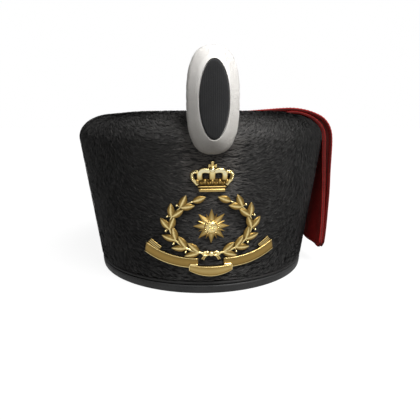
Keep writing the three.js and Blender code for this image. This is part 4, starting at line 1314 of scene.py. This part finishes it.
# The orb's top takes the pale painted highlight
add_dome(crown, 0, CROWN_ORB_Z, 2.3, 1.8, 2.4, shine=1.15)
cross_tips = [(0, CROWN_TIP), (0, CROWN_CROSS_Z - CROWN_CROSS_FOOT),
              (CROWN_CROSS_ARM, CROWN_CROSS_Z), (-CROWN_CROSS_ARM, CROWN_CROSS_Z)]
for tip in cross_tips:
    arm = np.linspace((0, CROWN_CROSS_Z), tip, 5)
    add_strip(crown, arm, CROWN_CROSS, np.linspace(0.85, 1.85, len(arm)))
badge_piece("badge_gilt_crown", crown, "badge_crown")

# Star of the badge: eight faceted rays over eight shorter ones, and a rosette on a beaded boss
STAR_MIDDLE = 53.8
STAR_POINTS = 8
STAR_TIP = 13.0
STAR_VALLEY = 6.4
STAR_RISE = 2.6
SHORT_TIP = 0.8 * STAR_TIP
SHORT_VALLEY = 0.6 * STAR_VALLEY
SHORT_RISE = 0.75 * STAR_RISE
BOSS_RADIUS = 4.6
BOSS_BEADS = 20
PETALS = 6
PETAL_REACH = 1.75
star = new_relief()


def add_star(relief, tip, valley, rise, turn):
    """A faceted star with a ridge down each ray."""
    cone = bmesh.ops.create_cone(relief, cap_ends=True, segments=2 * STAR_POINTS, radius1=tip, radius2=0.4,
                                 depth=rise, matrix=Matrix.Rotation(turn, 4, "Z"))["verts"]
    for vert in cone:
        place_round = round((math.atan2(vert.co.y, vert.co.x) - turn) / math.pi * STAR_POINTS)
        if place_round % 2 and vert.co.z < 0:
            vert.co.x *= valley / tip
            vert.co.y *= valley / tip
    bmesh.ops.translate(relief, vec=(0, STAR_MIDDLE, rise / 2), verts=cone)
    set_polish_and_painted_light(relief, cone, -0.9 * rise, 0.9 * rise)


def add_dome_ring(relief, count, reach, turn, half_width, rise, sides, rings):
    """Domes evenly round the star's middle, the first at a turn."""
    for angle in turn + np.arange(count) * 2 * math.pi / count:
        add_dome(relief, reach * math.cos(angle), STAR_MIDDLE + reach * math.sin(angle),
                 half_width, half_width, rise, sides, rings)


add_star(star, STAR_TIP, STAR_VALLEY, STAR_RISE, 0.0)
add_star(star, SHORT_TIP, SHORT_VALLEY, SHORT_RISE, math.pi / STAR_POINTS)
add_dome(star, 0, STAR_MIDDLE, BOSS_RADIUS, BOSS_RADIUS, STAR_RISE, 24, 12)
add_dome_ring(star, BOSS_BEADS, BOSS_RADIUS, 0.0, 0.6, 2.0, 8, 6)
add_dome_ring(star, PETALS, PETAL_REACH, math.pi / PETALS, 1.1, 3.0, 10, 7)
add_dome(star, 0, STAR_MIDDLE, 0.95, 0.95, 3.25, 10, 7)
badge_piece("badge_gilt_star", star, "badge_star", smooth=False)

# Wreath of the badge: two laurel branches with ribbed leaves and berries, tied below with a bow
WREATH_MIDDLE = 53.8
WREATH_HALF = 29.0
WREATH_TALL = 20.5
BRANCH_ENDS = (-84, 64)
BRANCH_STEPS = 40
LEAF_PAIRS = 6
LEAF_LENGTH = 11.2
LEAF_TAPER = 0.25
LEAF_HALF_WIDTH = 2.75
LEAF_RELIEF = 1.2
LEAF_RIB_WIDTH = 0.16
LEAF_RIB_RISE = 0.35
LEAF_VEINS = 4.5
LEAF_VEIN_SLANT = 0.35
LEAF_VEIN_RISE = 0.12
LEAF_SPREAD = 0.5
BERRY_REACH = 2.9
BERRY_LEAN = 0.2
STEM_BEND = 0.15
BOW_LOOP = (3.6, 2.6, 1.4)
BOW_TAIL = ((1.2, 0), (4.5, -1.2), (6, -4.6))
# Section of the bow's tails: across, rise and shine
BOW_BAND = [(-1.1, 0, 0), (-1.1, 1, 0.5), (-0.8, 1.4, 0.9), (0, 1.1, 0.45), (0.8, 1.4, 0.9), (1.1, 1, 0.5),
            (1.1, 0, 0)]
wreath = new_relief()


def add_leaf(relief, root, angle, length):
    """A pointed laurel leaf with a raised midrib and side veins, from its root along an angle."""
    leaf = bmesh.ops.create_uvsphere(relief, u_segments=16, v_segments=14, radius=1,
                                     matrix=Matrix.Rotation(math.pi / 2, 4, "Y"))["verts"]
    layer = relief.verts.layers.float["polish_and_painted_light"]
    turn = Matrix.Translation((root[0], root[1], 0.8 * LEAF_RELIEF)) @ Matrix.Rotation(angle, 4, "Z")
    for vert in leaf:
        along = (vert.co.x + 1) / 2
        belly = math.sin(math.pi * along**0.85) ** 0.8 if 0 < along < 1 else 0.0
        across = vert.co.y / max(1e-6, math.sqrt(max(1e-9, 1 - vert.co.x**2)))
        top = vert.co.z > 0
        rib = math.exp(-((across / LEAF_RIB_WIDTH) ** 2))
        vein_way = along - LEAF_VEIN_SLANT * abs(across)
        veins = 0.5 + 0.5 * math.cos(2 * math.pi * LEAF_VEINS * vein_way)
        rise = LEAF_RELIEF * belly * (vert.co.z / max(1e-6, math.hypot(vert.co.y, vert.co.z)))
        if top:
            rise += belly * (LEAF_RIB_RISE * rib + LEAF_VEIN_RISE * veins * (1 - rib))
        # Painted highlight on the midrib and veins; the underside is left dark
        vert[layer] = 0.25 + 0.75 * (0.45 * (1 - abs(across)) + 0.55 * max(rib, 0.4 * veins)) if top else 0.0
        vert.co = turn @ Vector((along * length, across * LEAF_HALF_WIDTH * belly, rise))


for side in (-1, 1):
    bend = np.radians(np.linspace(*BRANCH_ENDS, BRANCH_STEPS + 1))
    branch = np.stack([side * WREATH_HALF * np.cos(bend), WREATH_MIDDLE + WREATH_TALL * np.sin(bend)], axis=1)
    branch_travel = travel_along(branch)
    branch_course = np.unwrap(np.arctan2(*np.gradient(branch, axis=0).T[::-1]))
    add_strip(wreath, branch, round_section(0.8, 0.9), np.linspace(1.15, 0.6, len(branch)))
    for i in range(LEAF_PAIRS + 1):
        at = branch_travel[-1] * min(1, (i + 0.55) / (LEAF_PAIRS + 0.6))
        root = np.array(at_travel((branch, branch_travel), at))
        course = np.interp(at, branch_travel, branch_course)
        for spread in ((0,) if i == LEAF_PAIRS else (-LEAF_SPREAD, LEAF_SPREAD)):
            add_leaf(wreath, root, course + spread, LEAF_LENGTH - LEAF_TAPER * i)
        if 0 < i < LEAF_PAIRS:
            out = course - side * math.pi / 2 - side * BERRY_LEAN
            berry = root + BERRY_REACH * np.array((math.cos(out), math.sin(out)))
            stem_bend = (root + berry) / 2 + STEM_BEND * (branch[-1] - berry) / LEAF_PAIRS
            add_strip(wreath, bent(root, stem_bend, berry, 5), round_section(0.38, 0.62))
            add_dome(wreath, *berry, 1.0, 1.0, 1.7, 10, 7)
knot = WREATH_MIDDLE - WREATH_TALL
add_dome(wreath, 0, knot, 2.4, 2.0, 2.1)
loop_middle, loop_half, loop_tall = BOW_LOOP
loop_angles = np.linspace(0, 2 * math.pi, 17)[1:-1]
for side in (-1, 1):
    tail = on_side(side, knot, BOW_TAIL, 8)
    add_strip(wreath, tail, BOW_BAND, np.linspace(0.8, 1.1, len(tail)))
    loop = np.stack([side * (loop_middle - loop_half * np.cos(loop_angles)),
                     knot + loop_tall * np.sin(loop_angles)], axis=1)
    add_strip(wreath, loop, round_section(0.65, 0.95))
badge_piece("badge_gilt_wreath", wreath, "badge_wreath")

# Ribbon of the badge: a blank middle panel with a raised border, and two wings that sweep up and fold back
PANEL_HALF = 15.6
PANEL_MIDDLE = 19.6
PANEL_END_HALF = 2.1
PANEL_END_LIFT = 0.8
RIBBON_HALF = 3.8
RIBBON_THICK = 1.5
PANEL_LIFT = 1.2
PANEL_FIELD = 0.69
WING_FIELD = 0.56
FOLD_SHARE = 0.62
RIBBON_LEAN = 0.35
# Curves at the right, over the panel's middle: the wing, its folded end, and the curl behind the panel's end
WING = ((9.2, 6.1), (31, 5.8), (46.6, 16.4))
FOLD = ((36.4, 15.6), (40.2, 18.2), (44.0, 21.4))
CURL = ((PANEL_HALF - 0.6, 5.0), (12, 4.6), (9.4, 5.2))
ribbon = new_relief()


def bordered(half_width, thick, field):
    """A ribbon's section: a field of this shine between two raised borders, bright from wear and painted
    highlight.
    """
    edge = [(-half_width, 0, 0), (-half_width, thick - 0.3, 0.4), (-half_width + 0.2, thick, 0.9),
            (-half_width + 0.5, thick, 0.9), (-half_width + 0.75, thick - 0.35, 0.2),
            (-half_width + 1.2, thick - 0.35, field - 0.1)]
    return [*edge, (0, thick - 0.25, field), *[(-across, rise, shine) for across, rise, shine in edge[::-1]]]


# A folded end's section: four pleats side by side, with painted highlight on their edges
pleat_top = [(across, 1.15 if i % 2 == 0 else 0.6, 1.0 if i % 2 == 0 else 0.1)
             for i, across in enumerate(np.linspace(-RIBBON_HALF + 0.4, RIBBON_HALF - 0.4, 7))]
pleated = [(-RIBBON_HALF, 0, 0), (-RIBBON_HALF, 0.8, 0.4), *pleat_top,
           (RIBBON_HALF, 0.8, 0.4), (RIBBON_HALF, 0, 0)]
panel_top = PANEL_MIDDLE + RIBBON_HALF
panel = level(PANEL_HALF, panel_top, 31)
panel_reach = (panel[:, 0] / PANEL_HALF) ** 2
panel_half = PANEL_END_HALF + (RIBBON_HALF - PANEL_END_HALF) * (1 - panel_reach)
panel[:, 1] += PANEL_END_LIFT * panel_reach - panel_half
add_strip(ribbon, panel, bordered(RIBBON_HALF, RIBBON_THICK + PANEL_LIFT, PANEL_FIELD),
          panel_half / RIBBON_HALF, lean=0.0)
panel_end = panel_top + PANEL_END_LIFT
for x in (-PANEL_HALF + 0.4, PANEL_HALF - 0.4):
    ends = [(x, y) for y in np.linspace(panel_end - 2 * PANEL_END_HALF + 0.3, panel_end - 0.3, 6)]
    add_strip(ribbon, ends, round_section(0.4, 1.1))
for side in (-1, 1):
    wing = on_side(side, PANEL_MIDDLE, WING, 30)
    add_strip(ribbon, wing[::side], bordered(RIBBON_HALF, RIBBON_THICK, WING_FIELD), lean=RIBBON_LEAN)
    fold = on_side(side, PANEL_MIDDLE, FOLD, 12)
    add_strip(ribbon, fold[::side], pleated, np.full(len(fold), FOLD_SHARE))
    curl = on_side(side, PANEL_MIDDLE, CURL, 8)
    add_strip(ribbon, curl[::side], round_section(0.95, 1.15))
badge_piece("badge_gilt_ribbon", ribbon, "badge_scroll")


# Studio
# A plain pale floor, a soft light from above and from the right of the picture, a weaker one from the front,
# and a camera at the photograph's angle.
FLOOR_HALF = 12.0
FLOOR_DARK = (0.085, 0.085, 0.085)
FLOOR_LIGHT = (0.1, 0.1, 0.1)
FLOOR_SEEN = 0.91
FLOOR_REFLECTED = 0.56
floor_paint, tree, shader, place, fibres = matted_finish("pale_floor", {
    "Roughness": 0.9, "Specular IOR Level": 0.1, "Emission Color": (1, 1, 1, 1)}, 40.0)
floor_seen = add_node(tree, "ShaderNodeLightPath")
reflected = add_node(tree, "ShaderNodeMath", {1: FLOOR_REFLECTED}, operation="MULTIPLY")
glow = add_node(tree, "ShaderNodeMath", {1: FLOOR_SEEN}, operation="MULTIPLY_ADD")
tree.links.new(floor_seen.outputs["Is Glossy Ray"], reflected.inputs[0])
tree.links.new(floor_seen.outputs["Is Camera Ray"], glow.inputs[0])
tree.links.new(reflected.outputs["Value"], glow.inputs[2])
tree.links.new(glow.outputs["Value"], shader.inputs["Emission Strength"])
colour_over(tree, shader, fibres.outputs["Tone"], (0.3, FLOOR_DARK), (0.7, FLOOR_LIGHT))
ground = bmesh.new()
bmesh.ops.create_grid(ground, x_segments=2, y_segments=2, size=FLOOR_HALF / MM)
floor = make_piece("floor", ground, floor_paint)

SKY_SEEN = 1.0
SKY_LIGHT = 0.115
world = bpy.data.worlds.new("studio")
bpy.context.scene.world = world
world.use_nodes = True
sky = world.node_tree.nodes["Background"]
sky.inputs["Color"].default_value = (1, 1, 1, 1)
sky_seen = add_node(world.node_tree, "ShaderNodeLightPath")
sky_strength = add_node(world.node_tree, "ShaderNodeMapRange", {"To Min": SKY_LIGHT, "To Max": SKY_SEEN})
world.node_tree.links.new(sky_seen.outputs["Is Camera Ray"], sky_strength.inputs["Value"])
world.node_tree.links.new(sky_strength.outputs["Result"], sky.inputs["Strength"])

# Name, side it comes from, strength, and softness in degrees of each lamp
LAMPS = [
    ("key_light", Vector((0.36, -0.5, 0.86)), 4.7, 32.0),
    ("front_light", Vector((-0.3, -1.0, 0.3)), 0.42, 50.0),
]
for name, comes_from, strength, softness in LAMPS:
    lamp = bpy.data.lights.new(name, "SUN")
    lamp.energy = strength
    lamp.angle = math.radians(softness)
    holder = linked(name, lamp)
    holder.location = comes_from
    holder.rotation_euler = (-comes_from).to_track_quat("-Z", "Y").to_euler()

CAMERA_PLACE = Vector((-24.86, -399.58, 123.87))
CAMERA_PITCH = 11.52
CAMERA_TURN = -4.77
CAMERA_LENS = 36
lens = bpy.data.cameras.new("camera")
lens.lens = CAMERA_LENS
lens.sensor_width = CAMERA_LENS
lens.clip_start = 0.01
camera = linked("camera", lens)
camera.location = TO_FRAME @ CAMERA_PLACE
camera.rotation_euler = (math.radians(90 - CAMERA_PITCH), 0, math.radians(CAMERA_TURN))
bpy.context.scene.camera = camera
bpy.context.scene.view_settings.view_transform = "Standard"
